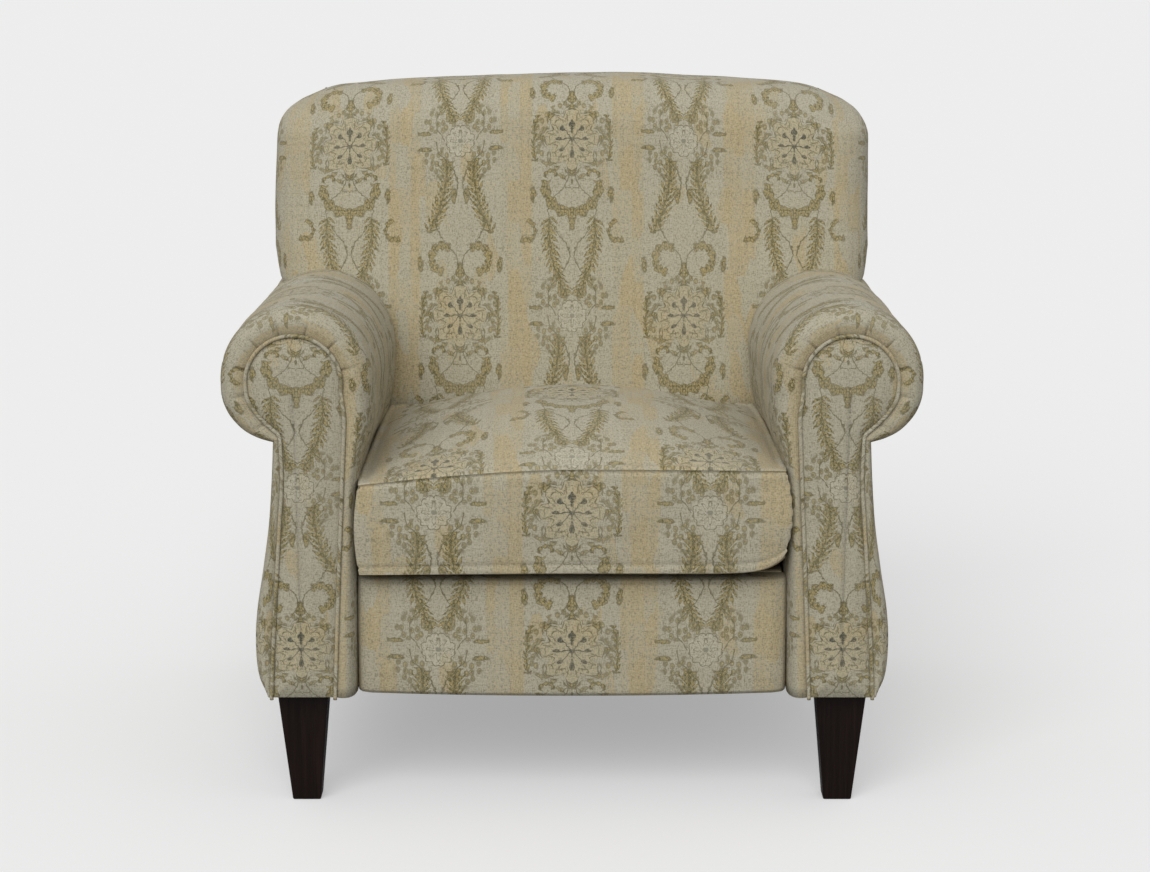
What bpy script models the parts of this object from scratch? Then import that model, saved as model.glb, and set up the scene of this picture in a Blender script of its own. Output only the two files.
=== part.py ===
"""Rolled-arm upholstered armchair with a loose box cushion and tapered wooden legs.

Units are metres, +Z is up and the chair faces -Y. Depths in this file are counted rearwards from the
plane of the two arm facings; at the end the whole chair is centred on the origin over the floor.
"""
import math

import bmesh
import bpy
from mathutils import Vector

# Gaps between pieces
TOUCH = 0.0003
SLIP = 0.0012

# Body and arms
BODY_BOTTOM = 0.1455
SEAT_HALF_WIDTH = 0.2825
ARM_TOP = 0.661
ROLL_RADIUS = 0.0985
ROLL_INSET = 0.0727
ROLL_CENTRE_X = SEAT_HALF_WIDTH + ROLL_INSET
REAR_ROLL_RADIUS = 0.1065
REAR_ROLL_OUT = 0.0095
REAR_ROLL_DROP = 0.0305
FACING_RADIUS = 0.0615
PUFF_DEPTH = 0.034
WELT_RADIUS = 0.0031
CLOTH = 0.0018
FOLD_DEPTH = 0.0032
FOLD_HALF_ANGLE = 2.2
FACING_CROWN = 0.006

# Back
EAR_REACH = 0.0903
BACK_HALF_WIDTH = ROLL_CENTRE_X + EAR_REACH
BACK_TOP = 0.911
BACK_TOP_CROWN = 0.12
BACK_EDGE_RADIUS = 0.052
BACK_TOP_RADIUS = 0.066
BACK_RAKE = 0.22
BACK_BOW = 0.030
BACK_FOAM = 0.036
LOWER_BACK_TUCK = 0.0485
LOWER_BACK_HALF_WIDTH = SEAT_HALF_WIDTH + LOWER_BACK_TUCK
EAR_BOTTOM = 0.604
SEAT_DEPTH = 0.515
SEAT_LINE = 0.45
BACK_DEPTH = 0.230
REAR_DEPTH = SEAT_DEPTH + BACK_DEPTH
REAR_RAKE = 0.075

# Seat
CUSHION_SIDE_GAP = 0.008
CUSHION_HALF_WIDTH = SEAT_HALF_WIDTH - CUSHION_SIDE_GAP
CUSHION_OVERHANG = 0.008
CUSHION_SEAM_TOP = 0.4515
CUSHION_SEAM_BOTTOM = 0.315
CUSHION_CROWN = 0.057
CUSHION_LEFT_SAG = 0.0215
CUSHION_RIGHT_LIFT = 0.032
DECK_TOP = 0.3015
DECK_PAD = 0.0155
CUSHION_REAR_TAPER = 0.008
ZIP_LENGTH = 0.42
ZIP_WIDTH = 0.010

# Timber frame
BOARD = 0.022
REAR_RAIL_BEHIND_SEAT = 0.085
REAR_SEAT_RAIL_FRONT = SEAT_DEPTH + REAR_RAIL_BEHIND_SEAT
BACK_RAIL_BOTTOM = 0.330
BACK_RAIL_HEIGHT = 0.045
REAR_POST_DEPTH = 0.040
POST_SETBACK = 0.0320
TOP_RAIL_DROP = 0.119
TOP_RAIL_COVER = 0.049
TOP_RAIL_END = 0.050
CLOTH_CLEARANCE = 0.006
FACING_BOARD = 0.018
RAIL_BOTTOM = 0.150
RAIL_TOP = 0.262
SIDE_RAIL_TOP = 0.270
LEG_BLOCK_HEIGHT = 0.028
LEG_INSET = 0.0012
LEG_CENTRE_X = ROLL_CENTRE_X - LEG_INSET
FRONT_LEG_DEPTH = 0.0485
REAR_LEG_SETBACK = 0.064
REAR_LEG_DEPTH = REAR_DEPTH - REAR_LEG_SETBACK
LEG_TOP_WIDTH = 0.067
LEG_FOOT_WIDTH = 0.037
LEG_TOP_LENGTH = 0.056
LEG_FOOT_LENGTH = 0.034
FRONT_LEG_LEAN = -0.011
REAR_LEG_SPLAY = 0.044
LEG_BEVEL = 0.002
BOLT_RADIUS = 0.004
BOLT_REACH = 0.045

# Springs
SPRING_COUNT = 4
SPRING_PITCH = 0.128
WIRE_RADIUS = 0.0018
SPRING_HALF_WIDTH = 0.021
SPRING_BARS = 11
CLIP_WIDTH = 0.016
CLIP_WALL = 0.0012
STRAP_COUNT = 4
STRAP_WIDTH = 0.05
STRAP_THICKNESS = 0.002
STRAP_LOW = 0.480
STRAP_HIGH = 0.760
STRAP_SETBACK = 0.012

ROLL_CENTRE_Z = ARM_TOP - ROLL_RADIUS
ARC_START, ARC_END = 190.0, 0.0
FOLD_ANGLES = (165.5, 136.0, 104.5, 74.0, 45.0, 15.0)
PLAIN_ANGLES = (150.5, 120.0, 89.0, 59.5, 30.0, 0.0)
UNDER_FOLDS = (0.16, 0.56)
INNER_TACK_HEIGHT = 0.305
INNER_POINTS = 6
OUTER_POINTS = 10
SIDES = (("left", -1), ("right", 1))


def reset_scene():
    for old in list(bpy.data.objects):
        bpy.data.objects.remove(old, do_unlink=True)


def new_collection(name):
    collection = bpy.data.collections.new(name)
    bpy.context.scene.collection.children.link(collection)
    return collection


def material(name, colour, roughness, metallic=0.0):
    made = bpy.data.materials.new(name)
    made.use_nodes = True
    shader = made.node_tree.nodes["Principled BSDF"]
    shader.inputs["Base Color"].default_value = (*colour, 1.0)
    shader.inputs["Roughness"].default_value = roughness
    shader.inputs["Metallic"].default_value = metallic
    made.diffuse_color = (*colour, 1.0)
    return made


reset_scene()
CHAIR = new_collection("armchair")
CUTTERS = new_collection("armchair_cutters")
PRINT_CLOTH = material("printed_linen", (0.36, 0.33, 0.24), 0.9)
WELT_CLOTH = material("printed_linen_welt", (0.34, 0.31, 0.23), 0.9)
LEG_WOOD = material("espresso_wood", (0.022, 0.013, 0.010), 0.35)
FRAME_WOOD = material("frame_hardwood", (0.55, 0.40, 0.24), 0.7)
FOAM = material("foam", (0.80, 0.76, 0.62), 0.95)
STEEL = material("spring_steel", (0.45, 0.45, 0.46), 0.35, 1.0)
BLACK_CLOTH = material("dust_cloth", (0.03, 0.03, 0.032), 0.95)
DECK_CLOTH = material("decking_cloth", (0.42, 0.38, 0.28), 0.95)
WEBBING = material("jute_webbing", (0.42, 0.33, 0.20), 0.95)
ZIP_TAPE = material("zip_tape", (0.38, 0.34, 0.25), 0.7)


def keep(obj, finish, smooth=False):
    """Puts a finished piece in the chair's collection with its material."""
    for collection in list(obj.users_collection):
        collection.objects.unlink(obj)
    CHAIR.objects.link(obj)
    obj.data.materials.clear()
    obj.data.materials.append(finish)
    if smooth and obj.type == "MESH":
        obj.data.shade_smooth()
        obj.data.set_sharp_from_angle(angle=math.radians(40))
    return obj


def mesh_object(name, points, faces, away_from=None):
    """A mesh whose faces look outwards, or away from a point where the surface is open."""
    mesh = bpy.data.meshes.new(name)
    mesh.from_pydata([tuple(p) for p in points], [], faces)
    shape = bmesh.new()
    shape.from_mesh(mesh)
    bmesh.ops.recalc_face_normals(shape, faces=shape.faces)
    if away_from is not None:
        centre = Vector(away_from)
        outward = sum(
            f.normal.dot(f.calc_center_median() - centre) * f.calc_area() for f in shape.faces
        )
        if outward < 0:
            bmesh.ops.reverse_faces(shape, faces=shape.faces)
    shape.to_mesh(mesh)
    shape.free()
    obj = bpy.data.objects.new(name, mesh)
    bpy.context.scene.collection.objects.link(obj)
    return obj


def grid_faces(rows, columns, start=0, leave_out=lambda row, column: False):
    return [
        (
            start + r * columns + c,
            start + r * columns + c + 1,
            start + (r + 1) * columns + c + 1,
            start + (r + 1) * columns + c,
        )
        for r in range(rows - 1)
        for c in range(columns - 1)
        if not leave_out(r, c)
    ]


def cloth_sheet(name, rows, away_from, finish, thickness=CLOTH, leave_out=lambda r, c: False):
    """An open surface through rows of points, thickened inwards into cloth."""
    points = [p for row in rows for p in row]
    faces = grid_faces(len(rows), len(rows[0]), leave_out=leave_out)
    used = sorted({i for face in faces for i in face})
    place = {old: new for new, old in enumerate(used)}
    obj = mesh_object(
        name,
        [points[i] for i in used],
        [tuple(place[i] for i in face) for face in faces],
        away_from,
    )
    wall = obj.modifiers.new("cloth", "SOLIDIFY")
    wall.thickness = thickness
    wall.offset = -1.0
    wall.use_quality_normals = True
    return keep(obj, finish, smooth=True)


def thick_pad(name, outer_rows, inner_rows, finish):
    """A closed pad between an outer and an inner grid of points."""
    rows, columns = len(outer_rows), len(outer_rows[0])
    count = rows * columns
    points = [p for row in outer_rows for p in row] + [p for row in inner_rows for p in row]
    faces = grid_faces(rows, columns)
    faces += [tuple(reversed(face)) for face in grid_faces(rows, columns, count)]
    for c in range(columns - 1):
        faces.append((c, c + 1, count + c + 1, count + c))
        last = (rows - 1) * columns + c
        faces.append((last, last + 1, count + last + 1, count + last))
    for r in range(rows - 1):
        here, there = r * columns, (r + 1) * columns
        faces.append((here, there, count + there, count + here))
        faces.append(
            (here + columns - 1, there + columns - 1, count + there + columns - 1, count + here + columns - 1)
        )
    return keep(mesh_object(name, points, faces), finish, smooth=True)


def board(name, low, high, finish=None):
    """A sawn board between two corners."""
    middle = [(a + b) / 2 for a, b in zip(low, high)]
    bpy.ops.mesh.primitive_cube_add(size=1.0, location=middle)
    obj = bpy.context.object
    obj.name = obj.data.name = name
    obj.scale = [b - a for a, b in zip(low, high)]
    bpy.ops.object.transform_apply(location=False, rotation=False, scale=True)
    return keep(obj, finish or FRAME_WOOD)


def mirrored_board(stem, low, high, finish=None):
    """A left and a right board; the corners given are those of the right one."""
    for side, sign in SIDES:
        x0, x1 = sorted((sign * low[0], sign * high[0]))
        board(f"{stem}_{side}", (x0, low[1], low[2]), (x1, high[1], high[2]), finish)


def plate(name, outline, start, thickness, finish, plane="XZ"):
    """A flat shape cut from sheet: an outline in one plane, pushed along the third axis."""
    if plane == "XZ":
        ends = [[Vector((u, start + d, v)) for u, v in outline] for d in (0, thickness)]
    elif plane == "YZ":
        ends = [[Vector((start + d, u, v)) for u, v in outline] for d in (0, thickness)]
    else:
        ends = [[Vector((u, v, start + d)) for u, v in outline] for d in (0, thickness)]
    count = len(outline)
    faces = [tuple(range(count)), tuple(reversed(range(count, 2 * count)))]
    faces += [(i, (i + 1) % count, count + (i + 1) % count, count + i) for i in range(count)]
    return keep(mesh_object(name, ends[0] + ends[1], faces), finish)


def tube(name, path, radius, resolution, finish, closed=False):
    curve = bpy.data.curves.new(name, "CURVE")
    curve.dimensions = "3D"
    curve.bevel_depth = radius
    curve.bevel_resolution = resolution
    curve.use_fill_caps = not closed
    spline = curve.splines.new("POLY")
    spline.points.add(len(path) - 1)
    for point, place in zip(spline.points, path):
        point.co = (*place, 1.0)
    spline.use_cyclic_u = closed
    obj = bpy.data.objects.new(name, curve)
    bpy.context.scene.collection.objects.link(obj)
    return keep(obj, finish)


def through(points, count):
    """A smooth open curve through the points, as count places evenly spread over its spans."""
    spans = len(points) - 1
    ends = [points[0] * 2 - points[1], *points, points[-1] * 2 - points[-2]]
    made = []
    for i in range(count):
        t = i / (count - 1) * spans
        k = min(int(t), spans - 1)
        t -= k
        p0, p1, p2, p3 = ends[k : k + 4]
        square = (2 * p0 - 5 * p1 + 4 * p2 - p3) * t**2
        cube = (3 * p1 - p0 - 3 * p2 + p3) * t**3
        made.append(0.5 * (2 * p1 + (p2 - p0) * t + square + cube))
    return made


def at(points, share):
    """The place at a share, 0 to 1, of a smooth curve through the points."""
    steps = 80
    return through(points, steps + 1)[round(share * steps)]


def on_arc(centre, radius, degrees):
    angle = math.radians(degrees)
    return Vector((centre[0] + radius * math.cos(angle), centre[1] + radius * math.sin(angle)))


def offset_outline(outline, distance):
    """The outline moved sideways, to the left of its direction of travel."""
    moved = []
    for i, here in enumerate(outline):
        before = outline[max(i - 1, 0)]
        after = outline[min(i + 1, len(outline) - 1)]
        along = (after - before).normalized()
        moved.append(here + Vector((-along.y, along.x)) * distance)
    return moved


# Arm outlines, as distance from the chair's mid-plane and height, from the inner foot over the roll.
ROLL_CENTRE = Vector((ROLL_CENTRE_X, ROLL_CENTRE_Z))
FACING_CENTRE = ROLL_CENTRE + Vector((0.0015, 0.0))
WAIST = ROLL_CENTRE + Vector((0.0325, -0.0800))
FACING_WAIST = FACING_CENTRE + Vector((0.0195, -0.0665))
EAR_ANGLE = FOLD_ANGLES[4] - FOLD_HALF_ANGLE
WAIST_SHARE = 5 / 6


def arc_angles(with_folds):
    """Angles round the roll; each gathered fold has three, so that it can be a crease."""
    angles = [ARC_START, 178.0]
    for fold, plain in zip(FOLD_ANGLES, PLAIN_ANGLES):
        around = (FOLD_HALF_ANGLE, 0.0, -FOLD_HALF_ANGLE) if with_folds else (0.0,)
        angles += [fold + turn for turn in around]
        angles.append(plain)
    return angles


def towards_rear(place, depth):
    """The arm's outline at a depth: the roll grows, drops and leans out towards the back."""
    share = min(1.0, max(0.0, (depth - PUFF_DEPTH) / (SEAT_DEPTH - PUFF_DEPTH)))
    ease = min(1.0, max(0.0, (place.y - INNER_TACK_HEIGHT) / (WAIST.y - INNER_TACK_HEIGHT)))
    ease = share * ease * ease * (3 - 2 * ease)
    rear = ROLL_CENTRE + Vector((REAR_ROLL_OUT, -REAR_ROLL_DROP))
    return place.lerp(rear + (place - ROLL_CENTRE) * (REAR_ROLL_RADIUS / ROLL_RADIUS), ease)


def under_shares(with_folds):
    """Shares along the curl under the roll, from its widest point to the waist seam."""
    shares = []
    for fold, plain in zip(UNDER_FOLDS, (0.30, 0.70)):
        around = (-0.03, 0.0, 0.03) if with_folds else (0.0,)
        shares += [fold + turn for turn in around]
        shares.append(plain)
    return sorted([*shares, 0.43, WAIST_SHARE, 1.0])


def arm_outlines(with_folds):
    """Matching points of the cloth's outline and of the welt's line, for the inner side and the roll."""
    roll_start = on_arc(ROLL_CENTRE, ROLL_RADIUS, ARC_START)
    facing_start = on_arc(FACING_CENTRE, FACING_RADIUS, ARC_START)
    rise = roll_start.y - INNER_TACK_HEIGHT
    inner = [
        Vector((SEAT_HALF_WIDTH, BODY_BOTTOM)),
        Vector((SEAT_HALF_WIDTH - 0.0013, INNER_TACK_HEIGHT)),
        Vector((SEAT_HALF_WIDTH - 0.0030, INNER_TACK_HEIGHT + 0.40 * rise)),
        Vector((SEAT_HALF_WIDTH - 0.0070, INNER_TACK_HEIGHT + 0.61 * rise)),
        Vector((roll_start.x + 0.0080, INNER_TACK_HEIGHT + 0.735 * rise)),
        Vector((roll_start.x + 0.0022, INNER_TACK_HEIGHT + 0.865 * rise)),
        roll_start,
    ]
    facing_rise = facing_start.y - INNER_TACK_HEIGHT
    facing_inner = [
        Vector((SEAT_HALF_WIDTH + 0.0271, BODY_BOTTOM)),
        Vector((SEAT_HALF_WIDTH + 0.0200, INNER_TACK_HEIGHT)),
        Vector((SEAT_HALF_WIDTH + 0.0154, INNER_TACK_HEIGHT + 0.36 * facing_rise)),
        Vector((SEAT_HALF_WIDTH + 0.0134, INNER_TACK_HEIGHT + 0.53 * facing_rise)),
        Vector((SEAT_HALF_WIDTH + 0.0113, INNER_TACK_HEIGHT + 0.70 * facing_rise)),
        Vector((SEAT_HALF_WIDTH + 0.0098, INNER_TACK_HEIGHT + 0.86 * facing_rise)),
        facing_start,
    ]
    cloth = inner[:-1]
    welt = facing_inner[:-1]
    for angle in arc_angles(with_folds):
        cloth.append(on_arc(ROLL_CENTRE, ROLL_RADIUS, angle))
        welt.append(on_arc(FACING_CENTRE, FACING_RADIUS, angle))
    under, facing_under = under_curves()
    for share in under_shares(with_folds):
        cloth.append(at(under, share))
        welt.append(at(facing_under, share))
    return cloth, welt


def under_curves():
    widest = on_arc(ROLL_CENTRE, ROLL_RADIUS, 0)
    facing_widest = on_arc(FACING_CENTRE, FACING_RADIUS, 0)
    under = [
        widest,
        ROLL_CENTRE + Vector((0.0974, -0.0219)),
        ROLL_CENTRE + Vector((0.0883, -0.0449)),
        ROLL_CENTRE + Vector((0.0706, -0.0647)),
        ROLL_CENTRE + Vector((0.0514, -0.0750)),
        WAIST,
        WAIST + Vector((-0.0070, -0.0006)),
    ]
    facing_under = [
        facing_widest,
        FACING_CENTRE + Vector((0.0587, -0.0213)),
        FACING_CENTRE + Vector((0.0475, -0.0396)),
        FACING_CENTRE + Vector((0.0325, -0.0552)),
        FACING_WAIST,
        FACING_WAIST + Vector((-0.0012, -0.0018)),
    ]
    return under, facing_under


def outer_side_outlines(count):
    """Matching points of the outside arm's cloth and of the welt, from the waist seam to the foot."""
    drop = WAIST.y - BODY_BOTTOM
    cloth = [
        WAIST + Vector((-0.0003, -0.0034)),
        WAIST + Vector((0.0020, -0.155 * drop)),
        WAIST + Vector((0.0070, -0.33 * drop)),
        WAIST + Vector((0.0155, -0.50 * drop)),
        WAIST + Vector((0.0250, -0.675 * drop)),
        WAIST + Vector((0.0278, -0.81 * drop)),
        WAIST + Vector((0.0240, -0.925 * drop)),
        WAIST + Vector((0.0120, -0.995 * drop)),
    ]
    facing_drop = FACING_WAIST.y - BODY_BOTTOM
    welt = [
        FACING_WAIST + Vector((-0.0022, -0.0088)),
        FACING_WAIST + Vector((-0.0026, -0.18 * facing_drop)),
        FACING_WAIST + Vector((0.0020, -0.36 * facing_drop)),
        FACING_WAIST + Vector((0.0085, -0.62 * facing_drop)),
        FACING_WAIST + Vector((0.0140, -0.86 * facing_drop)),
        FACING_WAIST + Vector((0.0163, -facing_drop)),
    ]
    return through(cloth, count), through(welt, count)


def rear_depth(height):
    """Depth of the chair's outside back at a height."""
    return REAR_DEPTH + (height - BODY_BOTTOM) * REAR_RAKE


def back_face_depth(x, height):
    """Depth of the inside back: upright behind the cushion, raked above it, and bowed across."""
    bow = BACK_BOW * (abs(x) / BACK_HALF_WIDTH) ** 2.5
    return SEAT_DEPTH + max(0.0, height - SEAT_LINE) * BACK_RAKE + bow


EAR_LEVELS = (
    (-0.003, LOWER_BACK_HALF_WIDTH),
    (0.0, BACK_HALF_WIDTH - 0.045),
    (0.003, BACK_HALF_WIDTH - 0.018),
    (0.011, BACK_HALF_WIDTH - 0.009),
    (0.026, BACK_HALF_WIDTH - 0.005),
    (0.060, BACK_HALF_WIDTH),
)


def ear_setback(x, height):
    """How far the rounded side edge of the back stands behind its face."""
    above = height - EAR_BOTTOM
    half_width = BACK_HALF_WIDTH
    for (low, narrow), (high, wide) in zip(EAR_LEVELS, EAR_LEVELS[1:]):
        if low <= above < high:
            half_width = narrow + (wide - narrow) * (above - low) / (high - low)
    if above < EAR_LEVELS[0][0]:
        return 0.0
    out = min(BACK_EDGE_RADIUS, max(0.0, abs(x) - (half_width - BACK_EDGE_RADIUS)))
    return 0.75 * (BACK_EDGE_RADIUS - math.sqrt(BACK_EDGE_RADIUS**2 - out**2))


# Share of the way from the cloth's outline to the welt, and depth as a share of the puff
PUFF_STEPS = ((1.0, 0.10), (0.8, 0.02), (0.55, 0.0), (0.3, 0.12), (0.1, 0.45), (0.0, 1.0))


def puffed_rows(cloth, welt, sign, folds=()):
    """Rows of the cloth where it rounds over the front of the arm, tucking in at the welt."""
    rows = []
    for share, depth in PUFF_STEPS:
        row = []
        for i, (outer, inner) in enumerate(zip(cloth, welt)):
            place = outer.lerp(inner, share)
            creased = FOLD_DEPTH * min(1.0, 2 * share) if i in folds else 0.0
            row.append(Vector((sign * place.x, PUFF_DEPTH * depth + creased, place.y)))
        rows.append(row)
    return rows


def fold_columns():
    """Which columns of the cloth are the bottoms of the gathered folds."""
    columns = [INNER_POINTS + arc_angles(True).index(angle) for angle in FOLD_ANGLES]
    first_under = INNER_POINTS + len(arc_angles(True))
    shares = under_shares(True)
    return columns + [first_under + shares.index(share) for share in UNDER_FOLDS]


def arm_cover(side, sign):
    """Cloth of the inside arm, over the roll and under it to the waist seam, gathered at the front."""
    cloth, welt = arm_outlines(True)
    welt = offset_outline(welt, WELT_RADIUS + TOUCH)
    rows = puffed_rows(cloth, welt, sign, fold_columns())
    far = [towards_rear(p, SEAT_DEPTH) for p in cloth]
    meets_back = [
        Vector((sign * p.x, back_face_depth(p.x, p.y) + ear_setback(p.x, p.y) - SLIP, p.y)) for p in far
    ]
    ends = [Vector((sign * p.x, rear_depth(p.y) - CLOTH - TOUCH, p.y)) for p in far]
    rows += [meets_back, ends]
    to_back, to_rear = len(rows) - 3, len(rows) - 2
    ear_column = INNER_POINTS + arc_angles(True).index(EAR_ANGLE)

    def leave_out(row, column):
        low = max(cloth[column].y, cloth[column + 1].y) < INNER_TACK_HEIGHT + TOUCH
        return (row == to_back and low and column < INNER_POINTS) or (row == to_rear and column < ear_column)

    cloth_sheet(f"arm_cover_{side}", rows, arm_middle(sign), PRINT_CLOTH, leave_out=leave_out)


def arm_middle(sign):
    return (sign * ROLL_CENTRE_X, SEAT_DEPTH / 2, ROLL_CENTRE_Z)


def arm_pad(side, sign):
    """Foam between the arm cover and the scroll of the front board."""
    cloth, welt = arm_outlines(False)
    first = next(i for i, p in enumerate(cloth) if p.y > INNER_TACK_HEIGHT + SLIP)
    last = len(cloth) - 1
    clear = CLOTH + 2 * SLIP
    outer = offset_outline(cloth, -clear)[first:last]
    inner = offset_outline(welt, FACING_BOARD_MARGIN + TOUCH)[first:last]
    rows = {
        PUFF_DEPTH * 0.42: 0.42,
        PUFF_DEPTH * 0.75: 0.12,
        PUFF_DEPTH * 1.15: 0.0,
    }
    outer_rows = [
        [Vector((sign * p.x, depth, p.y)) for p in (a.lerp(b, share) for a, b in zip(outer, inner))]
        for depth, share in rows.items()
    ]
    inner_rows = [[Vector((sign * p.x, depth, p.y)) for p in inner] for depth in rows]
    far_outer = offset_outline([towards_rear(p, SEAT_DEPTH) for p in cloth], -clear)[first:last]
    far_inner = [p.lerp(towards_rear(p, SEAT_DEPTH), 0.8) for p in inner]
    for rows, line in ((outer_rows, far_outer), (inner_rows, far_inner)):
        rows.append([Vector((sign * p.x, back_face_depth(p.x, p.y) - PAD_END_GAP, p.y)) for p in line])
    thick_pad(f"arm_pad_{side}", outer_rows, inner_rows, FOAM)


def outside_arm_cover(side, sign):
    cloth, welt = outer_side_outlines(OUTER_POINTS)
    welt = offset_outline(welt, WELT_RADIUS + TOUCH)
    rows = puffed_rows(cloth, welt, sign)
    far = [towards_rear(p, SEAT_DEPTH) for p in cloth]
    rows.append([Vector((sign * p.x, SEAT_DEPTH, p.y)) for p in far])
    rows.append([Vector((sign * p.x, rear_depth(p.y) - CLOTH - TOUCH, p.y)) for p in far])
    cloth_sheet(f"outside_arm_cover_{side}", rows, (0, SEAT_DEPTH / 2, ROLL_CENTRE_Z), PRINT_CLOTH)


def welt_line(with_outer=True):
    _, welt = arm_outlines(False)
    return welt + (outer_side_outlines(OUTER_POINTS)[1] if with_outer else [])


FACING_BOARD_MARGIN = 0.0062
OUTER_BOARD_MARGIN = -0.0005
PAD_END_GAP = 0.008
BOARD_FRONT = PUFF_DEPTH * 0.10 + FOLD_DEPTH + CLOTH + 2 * TOUCH


def arm_front_board(side, sign):
    """Plywood scroll that shapes the arm's front; the facing is pinned to it."""
    _, roll = arm_outlines(False)
    _, outer = outer_side_outlines(OUTER_POINTS)
    outline = offset_outline(roll, FACING_BOARD_MARGIN) + offset_outline(outer, OUTER_BOARD_MARGIN)
    outline = [Vector((sign * p.x, max(p.y, RAIL_BOTTOM))) for p in outline]
    plate(f"arm_front_board_{side}", outline, BOARD_FRONT, FACING_BOARD, FRAME_WOOD)


def arm_facing(side, sign):
    """Padded keyhole panel inside the welt, with a soft crown."""
    outline = offset_outline(welt_line(), -(WELT_RADIUS + TOUCH))
    middle_foot = (outline[0] + outline[-1]) / 2 + Vector((0, -0.0035))
    outline = [*outline, middle_foot]
    inside = sum(outline, Vector((0, 0))) / len(outline)
    spine_low = Vector((FACING_CENTRE.x - 0.006, BODY_BOTTOM + 0.035))
    spine_high = FACING_CENTRE
    rings = ((0.0, WELT_RADIUS), (0.0, -0.001), (0.22, -0.6 * FACING_CROWN), (0.6, -FACING_CROWN))
    points = []
    for share, depth in rings:
        for p in outline:
            towards = spine_high if p.y > spine_high.y else Vector(
                (spine_low.lerp(spine_high, (p.y - spine_low.y) / (spine_high.y - spine_low.y)).x, p.y)
            )
            if p.y < spine_low.y:
                towards = spine_low
            place = p.lerp(towards, share)
            points.append(Vector((sign * place.x, depth, place.y)))
    count = len(outline)
    faces = [tuple(range(count)), tuple(range(3 * count, 4 * count))]
    for ring in range(3):
        here, there = ring * count, (ring + 1) * count
        for i in range(count):
            after = (i + 1) % count
            faces.append((here + i, here + after, there + after, there + i))
    keep(mesh_object(f"arm_facing_{side}", points, faces), PRINT_CLOTH, smooth=True)


def arm_welt(side, sign):
    path = [Vector((sign * p.x, 0.0, p.y)) for p in welt_line()]
    path[0].z -= WELT_RADIUS
    path[-1].z -= WELT_RADIUS
    tube(f"arm_welt_{side}", path, WELT_RADIUS, 1, WELT_CLOTH)


def back_outline_top(x):
    """Height of the back's crest across the chair."""
    return BACK_TOP - BACK_TOP_CROWN * x * x


def back_rows(inset):
    """Rows across the back: up its face, over the crest, and down to the outside back."""
    crest_radius = BACK_TOP_RADIUS
    shoulder = BACK_TOP - crest_radius
    levels = [(INNER_TACK_HEIGHT, LOWER_BACK_HALF_WIDTH), (SEAT_LINE, LOWER_BACK_HALF_WIDTH)]
    levels += [(EAR_BOTTOM + rise, width) for rise, width in EAR_LEVELS]
    levels.append(((EAR_BOTTOM + shoulder) / 2 + 0.02, BACK_HALF_WIDTH))
    rows = [back_row(height, width, 0.0, 0.0, inset) for height, width in levels]
    for angle in (0, 28, 56, 90):
        turn = math.radians(angle)
        rows.append(
            back_row(
                shoulder + (crest_radius - inset) * math.sin(turn),
                BACK_HALF_WIDTH,
                crest_radius - (crest_radius - inset) * math.cos(turn) - inset,
                1.0,
                inset,
            )
        )
    return rows


def back_row(height, half_width, roll_in, crowned, inset):
    """One row round the face, the two rounded edges and the sides, at one level."""
    width = half_width - inset - roll_in
    radius = max(0.004, min(BACK_EDGE_RADIUS, width - LOWER_BACK_HALF_WIDTH + 0.03) - inset * 0.5)
    half = []
    for share in (0.0, 0.25, 0.5, 0.75, 1.0):
        half.append((share * (width - radius), 0.0))
    for angle in (30, 60, 90):
        turn = math.radians(angle)
        half.append((width - radius + radius * math.sin(turn), radius * (1 - math.cos(turn))))
    half.append((width, None))
    row = []
    for x, back_by in [(-x, d) for x, d in reversed(half[1:])] + half:
        top_drop = BACK_TOP_CROWN * x * x * crowned
        z = height - top_drop
        if back_by is None:
            y = rear_depth(z) - CLOTH - TOUCH - inset
        else:
            y = back_face_depth(x, height) + back_by + roll_in + inset
        row.append(Vector((x, y, z)))
    return row


def back_cover():
    """Cloth of the inside back, its two ears and its rolled crest."""
    rows = back_rows(0.0)
    rows.append([Vector((p.x, rear_depth(p.z) - CLOTH - TOUCH, p.z)) for p in rows[-1]])
    middle = (0, (SEAT_DEPTH + REAR_DEPTH) / 2 + 0.05, 0.55)
    cloth_sheet("back_cover", rows, middle, PRINT_CLOTH)


def back_pad():
    """Foam slab behind the inside back, over the webbing."""
    clear = CLOTH + SLIP
    outer = [row[3:-3] for row in back_rows(clear)[7:-1]]
    inner = []
    for row in outer:
        inner.append([Vector((p.x * 0.94, p.y + BACK_FOAM, p.z - 0.25 * max(0.0, p.z - 0.8))) for p in row])
    thick_pad("back_pad", outer, inner, FOAM)
    low = INNER_TACK_HEIGHT + 0.004
    lower_outer, lower_inner = [], []
    for height in (low, SEAT_LINE, EAR_BOTTOM + 0.052):
        half = LOWER_BACK_HALF_WIDTH - BOARD - STRAP_SETBACK
        xs = [half * share for share in (-1, -0.6, -0.2, 0.2, 0.6, 1)]
        lower_outer.append([Vector((x, back_face_depth(x, height) + clear, height)) for x in xs])
        lower_inner.append([Vector((x, back_face_depth(x, height) + BACK_FOAM, height)) for x in xs])
    thick_pad("lower_back_pad", lower_outer, lower_inner, FOAM)


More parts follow.
